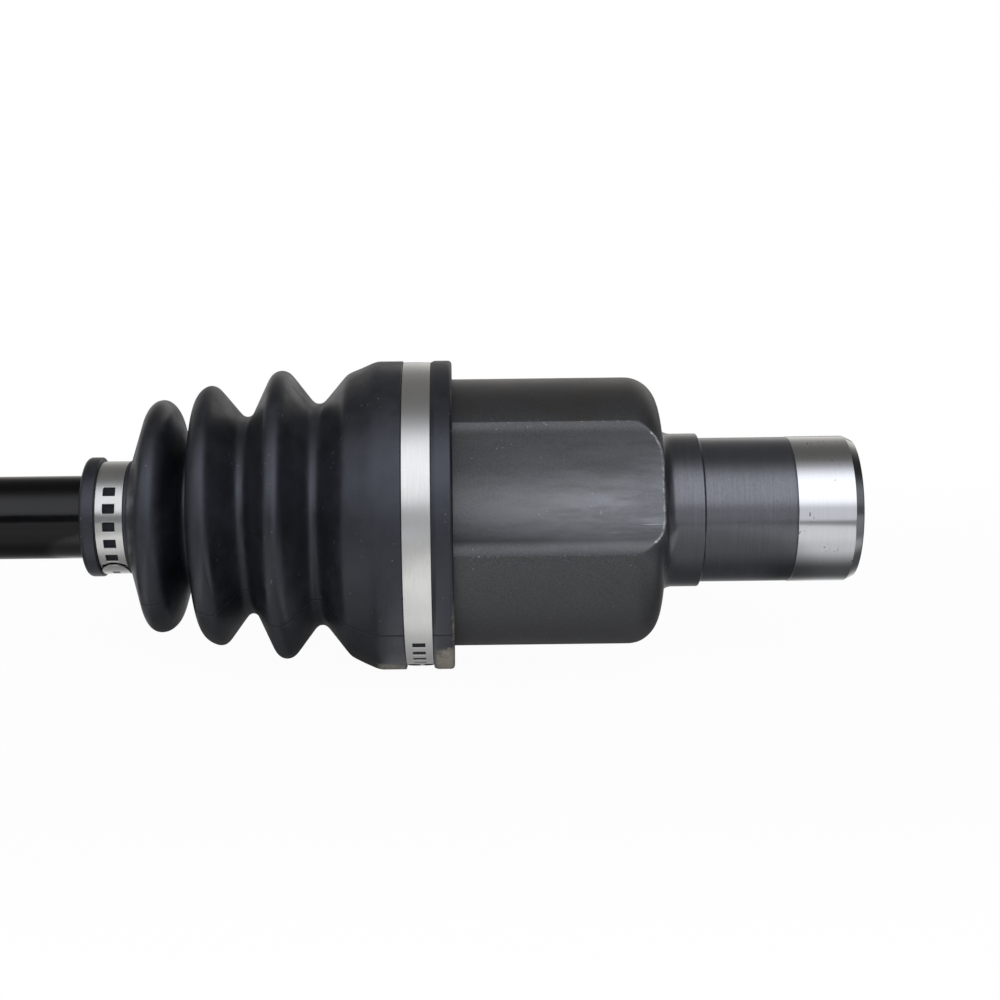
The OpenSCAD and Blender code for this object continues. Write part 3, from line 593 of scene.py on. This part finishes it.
def makeSocket(s=socket, h=housing):
    # the socket's teeth: a sleeve whose inside radius steps between tooth top and space
    turn = np.arange(s["teeth"] * s["perTooth"]) / (s["teeth"] * s["perTooth"]) * fullTurn
    phase = np.abs((turn * s["teeth"] / fullTurn) % 1 - 0.5) * 2
    inside = s["root"] + (s["tip"] - s["root"]) * np.clip((phase - s["flank"][0]) / s["flank"][1], 0, 1)
    first, last = s["start"], -h["pilotDepth"] + 0.03
    outside = h["sleeve"] + 0.1
    bevel = h["floorBevel"]
    rows = [(first, outside), (last, outside), (last, inside + bevel), (last - bevel, inside),
            (first, inside)]
    grid = np.stack([ringGrid(x, r, turn) for x, r in rows])
    return gridMesh("socketTeeth", grid, ("cut",), "tripod", sharp=30)


housingPiece = makeHousing()
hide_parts("tripod_housing")
socketPiece = makeSocket()
print("stage: tripod housing")

# boots: upView is the direction across the shaft that points up in the camera's view
upView = np.array([math.sin(viewElevation), math.cos(viewElevation)])


def bellows(bends, inset, steps=12):
    # round bends [x, radius, bend] joined by straight flanks that touch both: the flank's normal
    # leans from the line between the centres by acos of the bends' difference over their distance
    b = np.array(bends, float)
    d = np.diff(b[:, :2], axis=0)
    over = np.clip((b[:-1, 2] - b[1:, 2]) / np.hypot(*d.T), -1, 1)
    lean = np.arctan2(d[:, 1], d[:, 0]) + np.arccos(over)
    t = np.linspace(0, 1, steps + 1)[None, :]
    angle = lean[:-1, None] + (lean[1:] - lean[:-1])[:, None] * t
    size = b[1:-1, 2:3] - inset
    x = b[1:-1, 0:1] + size * np.cos(angle)
    r = b[1:-1, 1:2] + size * np.sin(angle)
    return np.stack([x.ravel(), r.ravel()], 1)


def softened(path, step=0.62, reach=0.75):
    # the path taken at even steps and averaged with its neighbours by a bell curve, so that flanks run
    # gently into the bends
    near = 4
    run = np.concatenate([[0], np.cumsum(np.hypot(*np.diff(path, axis=0).T))])
    even = np.linspace(0, run[-1], int(run[-1] / step))
    fine = np.stack([np.interp(even, run, path[:, k]) for k in (0, 1)], 1)
    weight = np.exp(-((np.arange(-near, near + 1) * step / reach) ** 2) / 2)
    wide = np.pad(fine, ((near, near), (0, 0)), "edge")
    soft = sum(w * wide[k:k + len(fine)] for k, w in enumerate(weight / weight.sum()))
    soft[0], soft[-1] = path[0], path[-1]
    return soft


def foldTop(x, top, wide, tight, skew=0.5):
    return [[x + skew, top - wide, wide], [x, top - tight, tight]]


def foldRoot(x, r, bend):
    return [[x, r + bend, -bend]]


def sagged(path, turn, leanAt, leans, drop=0.0, dropFrom=0.0):
    # folds sit a little askew: their planes lean by small angles given at some places along the boot,
    # and past dropFrom the cuff sits low by a small amount
    x, r = path[:, :1], path[:, 1:]
    lean = np.interp(x, leanAt, leans)
    up = np.cos(turn) * upView[0] + np.sin(turn) * upView[1]
    grid = ringGrid(x, r, turn)
    grid[..., 0] -= lean * r * up
    dropOver = 12
    low = drop * np.clip((x - dropFrom) / dropOver, 0, 1)
    grid[..., 1] -= low * upView[0]
    grid[..., 2] -= low * upView[1]
    return grid


def seamTurns(count, at):
    # turns round the shaft with a few more beside the parting line, and how deep the line is at each
    clear, half, slope = 0.8, 0.4, 0.28
    gap = np.radians([-0.55, -0.3, -0.12, 0.12, 0.3, 0.55])
    plain = np.arange(count) / count * fullTurn
    plain = plain[np.abs(plain - math.radians(at)) > math.radians(clear)]
    turn = np.sort(np.concatenate([plain, math.radians(at) + gap]))
    off = np.degrees(np.abs(turn - math.radians(at)))
    return turn, np.clip((half - off) / slope, 0, 1)


def hump(x, middle, half, power):
    # 1 at the middle, falling to 1/e at half away from it, the flatter on top the higher the power
    return np.exp(-((x - middle) / half) ** power)


# ends shared by both boots: lengths along the shaft count from the neck, or back from the large end
smallEnd = {"lipFrom": -12.8, "lipTo": -8.4, "seatTo": -0.4, "rise": 1, "seat": 15.35, "lip": 17.3,
            "bar": 12.05, "barFrom": 2.5}
largeEnd = {"from": 16, "seatFrom": 13.9, "seatTo": 5.9, "lipFrom": 4.8, "lipBevel": 0.2}


def smallProfile(to, s=smallEnd):
    # lip, clamp seat and neck, from the lip's free end
    return rounded([[s["lipFrom"], s["bar"], 0], [s["lipFrom"], s["lip"], 1.5], [s["lipTo"], s["lip"], 0.4],
                    [s["lipTo"], s["seat"], 0.15], [s["seatTo"], s["seat"], 0.15],
                    [s["seatTo"], s["seat"] + s["rise"], 0.3], [to, s["seat"] + s["rise"], 0]], 5, 0.1)


def largeProfile(end, boot, lip, inside, s=largeEnd):
    # cuff, clamp seat and lip, then the corners inside the lip's free end
    cuff, seat = boot["cuff"], boot["seat"]
    seatFrom, seatTo = end - s["seatFrom"], end - s["seatTo"]
    corners = [[end - s["from"], cuff, 0], [seatFrom, cuff, 0.3], [seatFrom, seat, 0.15],
               [seatTo, seat, 0.15], [seatTo, boot["lip"] - s["lipBevel"], 0.4],
               [end - s["lipFrom"], lip, 0.8], [end, lip, 1.1]]
    return rounded(corners + inside, 5, 0.1)[1:]


# the inboard boot's folds are listed from the neck on: places along it, radii, outer and inner bends.
# A scuff is its place back from the end, half width, how low it starts and over what, and its share
inboardBoot = {"neck": -207.9, "neckTo": 0.45, "end": -115.1, "mouth": housing["mouth"], "cuff": 44.62,
               "seat": 42.95, "lip": 44.45, "wall": 2.4, "split": 49.4, "points": 240,
               "at": (8.24, 24.47, 44.18), "top": (33.77, 37.75, 41.82), "wide": (3.65, 5.4, 4.35),
               "tight": (5.3, 2.5, 3.3), "skew": 0.67, "rootAt": (17.5, 34.15, 54.53),
               "root": (19.75, 28.43, 32.0), "bend": (1.66, 2.37, 2.5),
               "shoulder": ((8.72, 6.52, 3.5), (1.67, 5, 5)), "shoulderIn": ((8.9, 7, 3.4), (2.1, 3, 3)),
               "leans": (0, -0.013, -0.02, 0.028, 0.007, 0), "drop": 0.57, "dropFrom": 55, "seamShade": 208.6,
               "seamDepth": 0.0035, "bore": 38.7, "boreEdge": 41.0, "fit": 0.05, "ledge": 36.8,
               "ledgeDepth": 2, "leanFrom": -3, "leanTo": 4, "cutPast": (0.01, 1.0), "lineShare": 0.9,
               "lipScuff": (2.6, 3.0, 0.80, 0.05), "cuffScuff": (18, 4.5, 0.92, 0.03, 0.9),
               "edgeScuff": (0.7, 0.68, 0.3, 0.8), "scuffFront": -0.4}


def inboardOutlines(b=inboardBoot):
    # outside and inside outlines from the neck to the large end, as [x, radius] from the neck
    length, end = b["mouth"] - b["neck"], b["end"] - b["neck"]
    bends = [[b["neckTo"], smallEnd["seat"] + smallEnd["rise"], 0]]
    for k in range(3):
        bends += foldTop(b["at"][k], b["top"][k], b["wide"][k], b["tight"][k], b["skew"])
        bends += foldRoot(b["rootAt"][k], b["root"][k], b["bend"][k])
    cuffStart = [[end - largeEnd["seatFrom"], b["cuff"], 0]]
    rims = [[[length - back, b["cuff"] - low, bend] for back, low, bend in b[side]] + cuffStart
            for side in ("shoulder", "shoulderIn")]
    return softened(bellows(bends + rims[0], 0)), bellows(bends + rims[1], b["wall"])


def bootScuffs(grid, turn, b=inboardBoot):
    # tan scuffs under the cuff's lip, under the cuff's start and on the lip's end, on the near side
    low = -(np.cos(turn) * upView[0] + np.sin(turn) * upView[1])
    front = np.sin(turn) * upView[0] - np.cos(turn) * upView[1]
    rowX = grid[:, 0, 0]
    back, half, lowFrom, over = b["lipScuff"]
    lip = hump(rowX, b["end"] - back, half, 4)[:, None] * np.clip((low - lowFrom) / over, 0, 1)
    back, half, lowFrom, over, share = b["cuffScuff"]
    cuff = hump(rowX, b["end"] - back, half, 4)[:, None] * np.clip((low - lowFrom) / over, 0, 1)
    half, lowAt, spread, edgeShare = b["edgeScuff"]
    edge = hump(rowX, b["end"], half, 2)[:, None] * np.clip(1 - np.abs(low - lowAt) / spread, 0, 1)
    worst = np.maximum(np.maximum(lip, share * cuff), edge * edgeShare)
    return np.where(front > b["scuffFront"], worst, 0)


def makeInboardBoot(b=inboardBoot):
    # outlines turned round the shaft, leaning and sagging a little, with the lobed bore of the cuff.
    # The skin is cut in two on the last flank so that each half crosses one joint, and both halves
    # have the same points at the cut
    end = b["end"] - b["neck"]
    outer, inner = inboardOutlines()
    small = smallProfile(b["neckTo"])
    lipTop = b["lip"] + largeEnd["lipBevel"]
    large = largeProfile(end, b, lipTop, [[end, b["boreEdge"], 0.8], [end, b["bore"], 0]])
    turn, groove = seamTurns(b["points"], b["seamShade"])
    onAxis = np.array([1.0, 0, 0])
    relief = onAxis + (1 - onAxis) * (1 - (b["seamDepth"] * groove)[None, :, None])

    def cutAt(path, past):
        # the first point past the cut, and the outline's own point on the cut
        first = int(np.argmax(path[:, 0] > b["split"] + past))
        x, r = path[first - 1:first + 1].T
        return first, np.array([[b["split"], np.interp(b["split"], x, r)]])

    first, here = cutAt(outer, b["cutPast"][0])
    firstIn, hereIn = cutAt(inner, b["cutPast"][1])
    barEnd = [[smallEnd["barFrom"], smallEnd["bar"]]]
    smallPath = np.concatenate([small, outer[:first], here, hereIn, inner[:firstIn][::-1], barEnd])
    largeHead = np.concatenate([here, outer[first:], large])
    tail = np.concatenate([inner[firstIn:][::-1], hereIn])
    for path in (smallPath, largeHead, tail):
        path[:, 0] += b["neck"]

    leanAt = b["neck"] + np.array([b["leanFrom"], 0, *b["at"], b["mouth"] - b["neck"] - b["leanTo"]])
    leans, drop = b["leans"], (b["drop"], b["neck"] + b["dropFrom"])
    lobe = lobeRadius(turn)[0]
    inMouth = b["mouth"] - b["fit"]
    grid = sagged(largeHead, turn[None, :], leanAt, leans, *drop) * relief
    stopRows = [ringGrid(x, lobe + b["fit"], turn)[None] for x in (b["end"], inMouth)]
    under = b["mouth"] - b["ledgeDepth"]
    ledge = np.array([[inMouth, b["ledge"]], [under, b["ledge"]],
                      [under - 0.1, b["cuff"] - b["wall"] - b["fit"]]])
    ledgeGrid = ringGrid(ledge[:, :1], ledge[:, 1:], turn)
    ledgeGrid[0] = ringGrid(inMouth, np.minimum(b["ledge"], lobe), turn)
    back = sagged(tail, turn[None, :], leanAt, leans, *drop)
    largeGrid = np.concatenate([grid, *stopRows, ledgeGrid, back])
    folds = sagged(smallPath, turn[None, :], leanAt, leans)
    folds[:len(small) + first + 1] *= relief

    # the painted shade of the parting line also covers the seats under the clamps, seen through the windows
    onSeat = 0.02
    dark = [np.zeros(len(folds)), np.zeros(len(largeGrid))]
    dark[0][:len(small)] = np.abs(small[:, 1] - smallEnd["seat"]) < onSeat
    dark[1][len(largeHead) - len(large):len(largeHead)] = np.abs(large[:, 1] - b["seat"]) < onSeat
    paintedShade = groove[None, :] * b["lineShare"]
    seamAndSeatShades = [np.maximum(paintedShade, seatShadeRows[:, None]) for seatShadeRows in dark]
    foldPiece = gridMesh("bootFolds", folds, ("rubber",), marks={"seamShade": seamAndSeatShades[0]}, sharp=50)
    cuffMarks = {"wear": bootScuffs(largeGrid, turn), "seamShade": seamAndSeatShades[1]}
    cuffPiece = gridMesh("bootCuff", largeGrid, ("rubber",), marks=cuffMarks, sharp=50)
    return foldPiece, cuffPiece


bootFolds, bootCuff = makeInboardBoot()
for piece in (bootFolds, bootCuff):
    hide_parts("inboard_boot")
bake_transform(bootFolds)
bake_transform(bootCuff)

outboardBoot = {"bell": 41.0, "cuff": 45.0, "seat": 43.3, "lip": 45.2, "wall": 2.4, "folds": 5,
                "pitch": 14.6, "first": 7, "neckTo": 0.45, "low": 26.0, "wide": 4.2, "tight": 3, "depth": 7.5,
                "rootOff": 0.6, "rootBend": 1.6, "straight": 12, "past": 18.9, "mouth": -513.0,
                "topBelow": 2.5, "shoulder": (2.4, 3, 3), "ledgeDepth": 2, "fit": 0.05, "undercut": 1.8,
                "points": 240}


def makeOutboardBoot(b=outboardBoot):
    # the same construction mirrored, with folds that widen step by step towards the bell
    neck = b["mouth"] + b["straight"] + b["folds"] * b["pitch"]
    length = neck - b["mouth"]
    end = length + b["past"]
    bends = [[0, smallEnd["seat"] + smallEnd["rise"], 0]]
    highest = b["cuff"] - b["topBelow"]
    for k in range(b["folds"]):
        x = b["first"] + k * b["pitch"]
        top = b["low"] + k * (highest - b["low"]) / (b["folds"] - 1)
        bends += foldTop(x, top, b["wide"], b["tight"])
        bends += foldRoot(x + b["pitch"] / 2 + b["rootOff"], top - b["depth"], b["rootBend"])
    shoulder, low, bend = b["shoulder"]
    bends += [[length - shoulder, b["cuff"] - low, bend], [end - largeEnd["seatFrom"], b["cuff"], 0]]
    onBell, inBell = b["bell"] + b["fit"], b["bell"] - b["undercut"]
    stop, under = length - b["fit"], length - b["ledgeDepth"]
    large = largeProfile(end, b, b["lip"], [[end, onBell, 0.0], [stop, onBell, 0], [stop, inBell, 0],
                                            [under, inBell, 0], [under - 0.1, highest, 0]])
    path = np.concatenate([smallProfile(b["neckTo"]), bellows(bends, 0), large,
                           bellows(bends, b["wall"], 5)[::-1], [[smallEnd["barFrom"], smallEnd["bar"]]]])
    path[:, 0] = neck - path[:, 0]
    turn = np.arange(b["points"]) / b["points"] * fullTurn
    grid = ringGrid(path[:, :1], path[:, 1:], turn)
    return gridMesh("wheelBoot", grid[:, ::-1], ("rubber",), sharp=50)


wheelBoot = makeOutboardBoot()
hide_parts("outboard_boot")
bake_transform(wheelBoot)
print("stage: boots")

# clamp bands: window is its width across the strip and its length round it, from and step are degrees
largeWindows = {"windows": 5, "window": (3.55, 2.4), "from": 218.2, "step": 6.7}
smallWindows = {"windows": 5, "window": (3.35, 2.6), "from": 134.4, "step": 18.5}
clamps = {"inboard_clamp_large": {"body": "tripod", "r": 43.0, "x": -125.0, **largeWindows},
          "inboard_clamp_small": {"body": "shaft", "r": 15.37, "x": -212.3, **smallWindows},
          "outboard_clamp_large": {"body": "wheel_end", "r": 43.32, "x": -522.0, **largeWindows},
          "outboard_clamp_small": {"body": "shaft", "r": 15.37, "x": -423.6, **smallWindows}}
strip = {"width": 7.9, "thick": 0.72, "tongue": 50, "tongueThick": 0.4, "lift": 0.1, "edge": 0.13,
         "hole": 0.5, "holeLength": 0.8, "holeWidth": 0.93, "slotAt": 5.4, "slotWidth": 0.6,
         "slotLength": 0.8, "fill": 2.5, "fineStep": 0.3, "apart": (0.3, 0.6, 0.5)}


def stripMesh(name, x, turn, inner, outer, keep, ring):
    # a strip with cells left out: x[i, j] across and turn[j] round it, an outer and an inner skin
    # over the kept cells, and a wall wherever a kept cell meets a missing one or an end
    rows, cols = x.shape
    spots = np.stack([ringGrid(x, r, turn) for r in (outer, inner)]).reshape(-1, 3)
    size = rows * cols

    def at(i, j, layer):
        return layer * size + i * cols + j % cols

    i, j = np.nonzero(keep)
    faces = [np.stack([at(i, j, 0), at(i, j + 1, 0), at(i + 1, j + 1, 0), at(i + 1, j, 0)], -1),
             np.stack([at(i, j, 1), at(i + 1, j, 1), at(i + 1, j + 1, 1), at(i, j + 1, 1)], -1)]
    side = np.pad(keep, ((1, 1), (0, 0))).astype(int)
    step = np.diff(side, axis=0)
    for sign in (1, -1):
        i, j = np.nonzero(step == sign)
        wall = [at(i, j, 0), at(i, j, 1), at(i, j + 1, 1), at(i, j + 1, 0)]
        faces.append(np.stack(wall if sign > 0 else wall[::-1], -1))
    none = np.zeros_like(keep[:, :1])
    ends = [keep[:, -1:], keep] if ring else [none, keep, none]
    step = np.diff(np.concatenate(ends, 1).astype(int), axis=1)
    for sign in (1, -1):
        i, j = np.nonzero(step == sign)
        wall = [at(i, j, 0), at(i + 1, j, 0), at(i + 1, j, 1), at(i, j, 1)]
        faces.append(np.stack(wall if sign > 0 else wall[::-1], -1))
    mesh = bpy.data.meshes.new(name)
    mesh.from_pydata((spots * mm).tolist(), [], np.concatenate(faces).tolist())
    mesh.materials.append(finish["clamp"])
    return mesh


def clampBand(node, c, apex, tip, s=strip):
    # the ring with its windows, and an opening round the tongue's round end at apex, where the seat's painted
    # shade below shows as a dark crescent
    half = c["window"][0] / 2
    side = np.linspace(half, s["width"] / 2, 5)
    across = np.concatenate([-side[::-1], np.linspace(-half, half, 12)[1:-1], side])
    reach = math.degrees(c["window"][1] / 2 / c["r"])
    mids = c["from"] + np.arange(c["windows"]) * c["step"]
    outer = c["r"] + s["thick"]
    near = apex + np.degrees(np.arange(-s["hole"] - s["fineStep"], tip, s["fineStep"]) / outer)
    cuts = np.concatenate([mids - reach, mids + reach])
    cuts = np.sort(np.concatenate([cuts, near[np.abs(near[:, None] - cuts).min(1) > s["apart"][0]]]))
    fill = np.arange(0, 360, s["fill"])
    fill = fill[np.abs(fill[:, None] - cuts[None, :]).min(1) > s["apart"][1]]
    turn = np.sort(np.concatenate([fill, cuts]))
    middle = (turn + np.append(turn[1:], turn[0] + 360)) / 2
    inWindow = (np.abs(middle[:, None] - mids[None, :]) < reach).any(1)
    centre = (across[1:] + across[:-1]) / 2
    keep = ~(inWindow[None, :] & (np.abs(centre) < half)[:, None])
    ahead = np.radians(middle - apex)[None, :] * outer
    fromTip = np.hypot(centre[:, None], ahead - tip)
    inStrip = (ahead < tip * s["holeLength"]) & (np.abs(centre) < tip * s["holeWidth"])[:, None]
    keep &= ~((fromTip < tip + s["hole"]) & inStrip)
    x = c["x"] + across[:, None] + 0 * turn[None, :]
    return stripMesh(node, x, np.radians(turn), c["r"], outer, keep, True)


def clampTongue(node, c, apex, tip, s=strip):
    # a strip with a half-round end at apex, lapped over the band, with one narrow slot
    half = c["window"][0] / 2
    outer = c["r"] + s["thick"]
    run = np.concatenate([tip * (1 - np.cos(np.linspace(0.12, math.pi / 2, 9))),
                          np.linspace(tip + 0.8, math.radians(s["tongue"]) * outer, 24)])
    slot = apex + math.degrees(s["slotAt"] / outer)
    reach = math.degrees(c["window"][1] / 2 / c["r"]) * s["slotLength"]
    turns = apex + np.degrees(run / outer)
    cuts = np.array([slot - reach, slot + reach])
    clear = np.abs(turns[:, None] - cuts).min(1) > s["apart"][2]
    turns = np.sort(np.concatenate([turns[clear], cuts]))
    far = np.radians(turns - apex) * outer
    wide = np.sqrt(np.clip(tip ** 2 - np.clip(tip - far, 0, None) ** 2, 0, None))
    narrow = np.minimum(wide, half * s["slotWidth"])
    x = c["x"] + np.stack([-wide, -narrow, narrow, wide])
    middle = (turns[1:] + turns[:-1]) / 2
    keep = np.ones((3, len(turns) - 1), bool)
    keep[1, np.abs(middle - slot) < reach] = False
    inner = outer + s["lift"]
    return stripMesh(node + "Tongue", x, np.radians(turns), inner, inner + s["tongueThick"], keep, False)


def makeClamp(node, c, s=strip):
    # band and tongue as two pieces with bevelled edges
    apex = c["from"] + (c["windows"] - 0.5) * c["step"]
    tip = s["width"] / 2 - 0.1
    for mesh in (clampBand(node, c, apex, tip), clampTongue(node, c, apex, tip)):
        piece = finishMesh(mesh.name, mesh, c["body"], 32)
        bevel = piece.modifiers.new("edges", "BEVEL")
        bevel.width = s["edge"] * mm
        bevel.segments = 2
        bevel.limit_method = "ANGLE"
        bevel.angle_limit = math.radians(40)
        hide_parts(node)


for node, clamp in clamps.items():
    makeClamp(node, clamp)
print("stage: clamps")

# the nodes that stay visible take the finish of their slot
slotLooks = {"forged_steel": "forged", "ground_steel": "ground", "plated_steel": "cut",
             "clamp_steel": "clamp", "boot_rubber": "rubber", "black_paint": "paint"}
slotOf = {part["node"]: part["material_slot"] for part in frame["record"]["subparts"]}
for name, node in nodes.items():
    if not node.hide_render:
        node.data.materials.clear()
        node.data.materials.append(finish[slotLooks[slotOf[name]]])

# camera, floor and light: camera places in millimetres, roll in degrees
shot = {"distance": 512, "x": -113.6, "above": 3.65, "lens": 63.4, "roll": -0.69, "shift": 0.0417}


def placeCamera(s=shot):
    # the camera stands off the axis on one elevation and looks straight across it, a touch rolled
    across, up = math.cos(viewElevation), math.sin(viewElevation)
    spot = np.array([s["x"], -across * s["distance"], up * s["distance"]])
    spot += s["above"] * np.array([0, up, across])
    data = bpy.data.cameras.new("photoCamera")
    data.lens, data.sensor_width, data.shift_x = s["lens"], 36, s["shift"]
    data.clip_start, data.clip_end = 0.01, 50
    camera = bpy.data.objects.new("photoCamera", data)
    tilt = Matrix.Rotation(math.pi / 2 - viewElevation, 4, "X")
    roll = Matrix.Rotation(math.radians(s["roll"]), 4, "Z")
    camera.matrix_world = Matrix.Translation(spot * mm) @ tilt @ roll
    bpy.context.scene.collection.objects.link(camera)
    bpy.context.scene.camera = camera


# what gloss sees of the floor, in metres and levels: near and far are bands of Y, low, open and beyond
# stretches of X, and each card is [middle, half width, gain] along X
floorLook = {"size": 8.0, "gap": 0.0002, "albedo": 0.8, "rough": 0.8, "specular": 0.1,
             "seen": (0.05, 0.22, 0.965), "under": 0.010, "near": (0.006, 0.046),
             "low": (-0.024, -0.016, 0.15, 0.06), "high": 0.47, "far": (0.046, 0.10, 0.0, 0.10),
             "cards": ((-0.127, 0.007, 1.35), (-0.226, 0.012, 1.15), (-0.148, 0.010, -0.4),
                       (-0.082, 0.028, 0.4)), "cardEdge": 0.004,
             "open": (-0.014, 0.0, 0.0, 0.7), "beyond": (0.045, 0.09, 1.0, 0.26)}


def layFloor(f=floorLook):
    # a pale floor, plain white to the camera with a faint shadow near the part. Gloss sees it dark in
    # the shade under the shaft, brighter beside it and past its end, and on cards of their own gain
    size, z = f["size"], cadLow.z - f["gap"]
    corners = [(-size, -size, z), (size, -size, z), (size, size, z), (-size, size, z)]
    mesh = bpy.data.meshes.new("floor")
    mesh.from_pydata(corners, [], [(0, 1, 2, 3)])
    floor = bpy.data.objects.new("floor", mesh)
    bpy.context.scene.collection.objects.link(floor)
    material, tree, shader = newMaterial("floorWhite")
    feed(tree, shader, {"Base Color": (f["albedo"],) * 3 + (1,), "Roughness": f["rough"],
                        "Specular IOR Level": f["specular"]})
    path = put(tree, "ShaderNodeLightPath")
    camera = path.outputs["Is Camera Ray"]
    coords = put(tree, "ShaderNodeTexCoord").outputs["Object"]
    parts = put(tree, "ShaderNodeSeparateXYZ", {0: coords})
    x, y = parts.outputs["X"], parts.outputs["Y"]
    shaded = calc(tree, "ABSOLUTE", plus(tree, y, f["under"]))
    nearLevel = stepUp(tree, shaded, *f["near"], stepUp(tree, x, *f["low"]), f["high"])
    level = plus(tree, nearLevel, stepUp(tree, shaded, *f["far"]))
    extra = stepUp(tree, x, *f["open"])
    for middle, half, gain in f["cards"]:
        away = calc(tree, "ABSOLUTE", minus(tree, x, middle))
        extra = plus(tree, extra, stepUp(tree, away, half + f["cardEdge"], half, 0.0, gain))
    level = times(tree, level, plus(tree, extra, 1.0))
    level = times(tree, level, stepUp(tree, x, *f["beyond"]))
    seen = times(tree, camera, stepUp(tree, calc(tree, "ABSOLUTE", y), *f["seen"], 1.0))
    strength = plus(tree, camera, times(tree, level, minus(tree, 1.0, camera)))
    white = put(tree, "ShaderNodeEmission", {"Strength": strength})
    share = calc(tree, "MAXIMUM", seen, path.outputs["Is Glossy Ray"])
    mix = put(tree, "ShaderNodeMixShader", {0: share, 1: shader.outputs[0], 2: white.outputs[0]})
    tree.links.new(mix.outputs[0], tree.nodes["Material Output"].inputs["Surface"])
    mesh.materials.append(material)


# brightness by the angle in degrees round the shaft, from the camera's side over the top to the back,
# and by the direction along it, from the bar's end to the gearbox end
studio = {"bands": ((0, 0.82), (10, 0.80), (20, 0.78), (29, 1.45), (38, 1.72), (62, 1.68), (72, 1.40),
                    (80, 0.95), (90, 0.42), (101, 0.17), (114, 0.13), (132, 0.15), (150, 0.28),
                    (165, 0.6), (180, 0.9)),
          "along": ((-1.0, 0.3), (-0.82, 0.72), (-0.55, 1.0), (-0.36, 0.78), (-0.22, 0.76), (0.0, 1.0),
                    (0.2, 1.1), (0.5, 1.08), (0.72, 0.25), (1.0, 0.06)),
          "gap": (2, 9, 22, 29), "gapEnds": (-0.30, 0.10, 0.06, 1.0), "tint": (0.975, 0.99, 1.03),
          "topTint": (1.03, 1.0, 0.95), "topFrom": 95}


def ramp(tree, value, points):
    # a ramp over value 0..1, with each level halved, so that levels may go up to 2
    node = put(tree, "ShaderNodeValToRGB", {0: value})
    stops = node.color_ramp.elements
    while len(stops) < len(points):
        stops.new(1.0)
    for stop, (at, level) in zip(stops, points):
        stop.position = at
        stop.color = (*(part / 2 for part in level), 1)
    return node.outputs[0]


def lightWorld(s=studio):
    # long soft boxes parallel to the shaft, with a dark gap over the floor that opens towards the
    # bar's end; white to the camera itself
    world = bpy.data.worlds.new("studio")
    world.use_nodes = True
    bpy.context.scene.world = world
    tree = world.node_tree
    sky = tree.nodes["Background"]
    way = put(tree, "ShaderNodeTexCoord").outputs["Generated"]
    parts = put(tree, "ShaderNodeSeparateXYZ", {0: way})
    x = parts.outputs["X"]
    turn = calc(tree, "ARCTAN2", parts.outputs["Z"], times(tree, parts.outputs["Y"], -1.0))
    degrees = times(tree, turn, 180 / math.pi)
    levels = [(at / 180, [level * t for t in s["tint" if at < s["topFrom"] else "topTint"]])
              for at, level in s["bands"]]
    bands = ramp(tree, calc(tree, "DIVIDE", degrees, 180.0), levels)
    levels = [((at + 1) / 2, [level] * 3) for at, level in s["along"]]
    along = ramp(tree, plus(tree, times(tree, x, 0.5), 0.5), levels)
    first, second, third, last = s["gap"]
    inGap = times(tree, stepUp(tree, degrees, first, second), stepUp(tree, degrees, last, third))
    shade = times(tree, inGap, minus(tree, 1.0, stepUp(tree, x, *s["gapEnds"])))
    lit = put(tree, "ShaderNodeVectorMath", {0: bands, 1: along}, operation="MULTIPLY").outputs[0]
    bothHalves = 4.0
    scale = times(tree, minus(tree, 1.0, shade), bothHalves)
    shown = put(tree, "ShaderNodeVectorMath", {0: lit, "Scale": scale}, operation="SCALE").outputs[0]
    mixed = blendColor(tree, put(tree, "ShaderNodeLightPath").outputs["Is Camera Ray"], shown, (1, 1, 1))
    tree.links.new(mixed, sky.inputs["Color"])
    sky.inputs["Strength"].default_value = 1.0


placeCamera()
layFloor()
lightWorld()
bpy.context.scene.view_settings.view_transform = "Standard"
print("stage: camera and light")
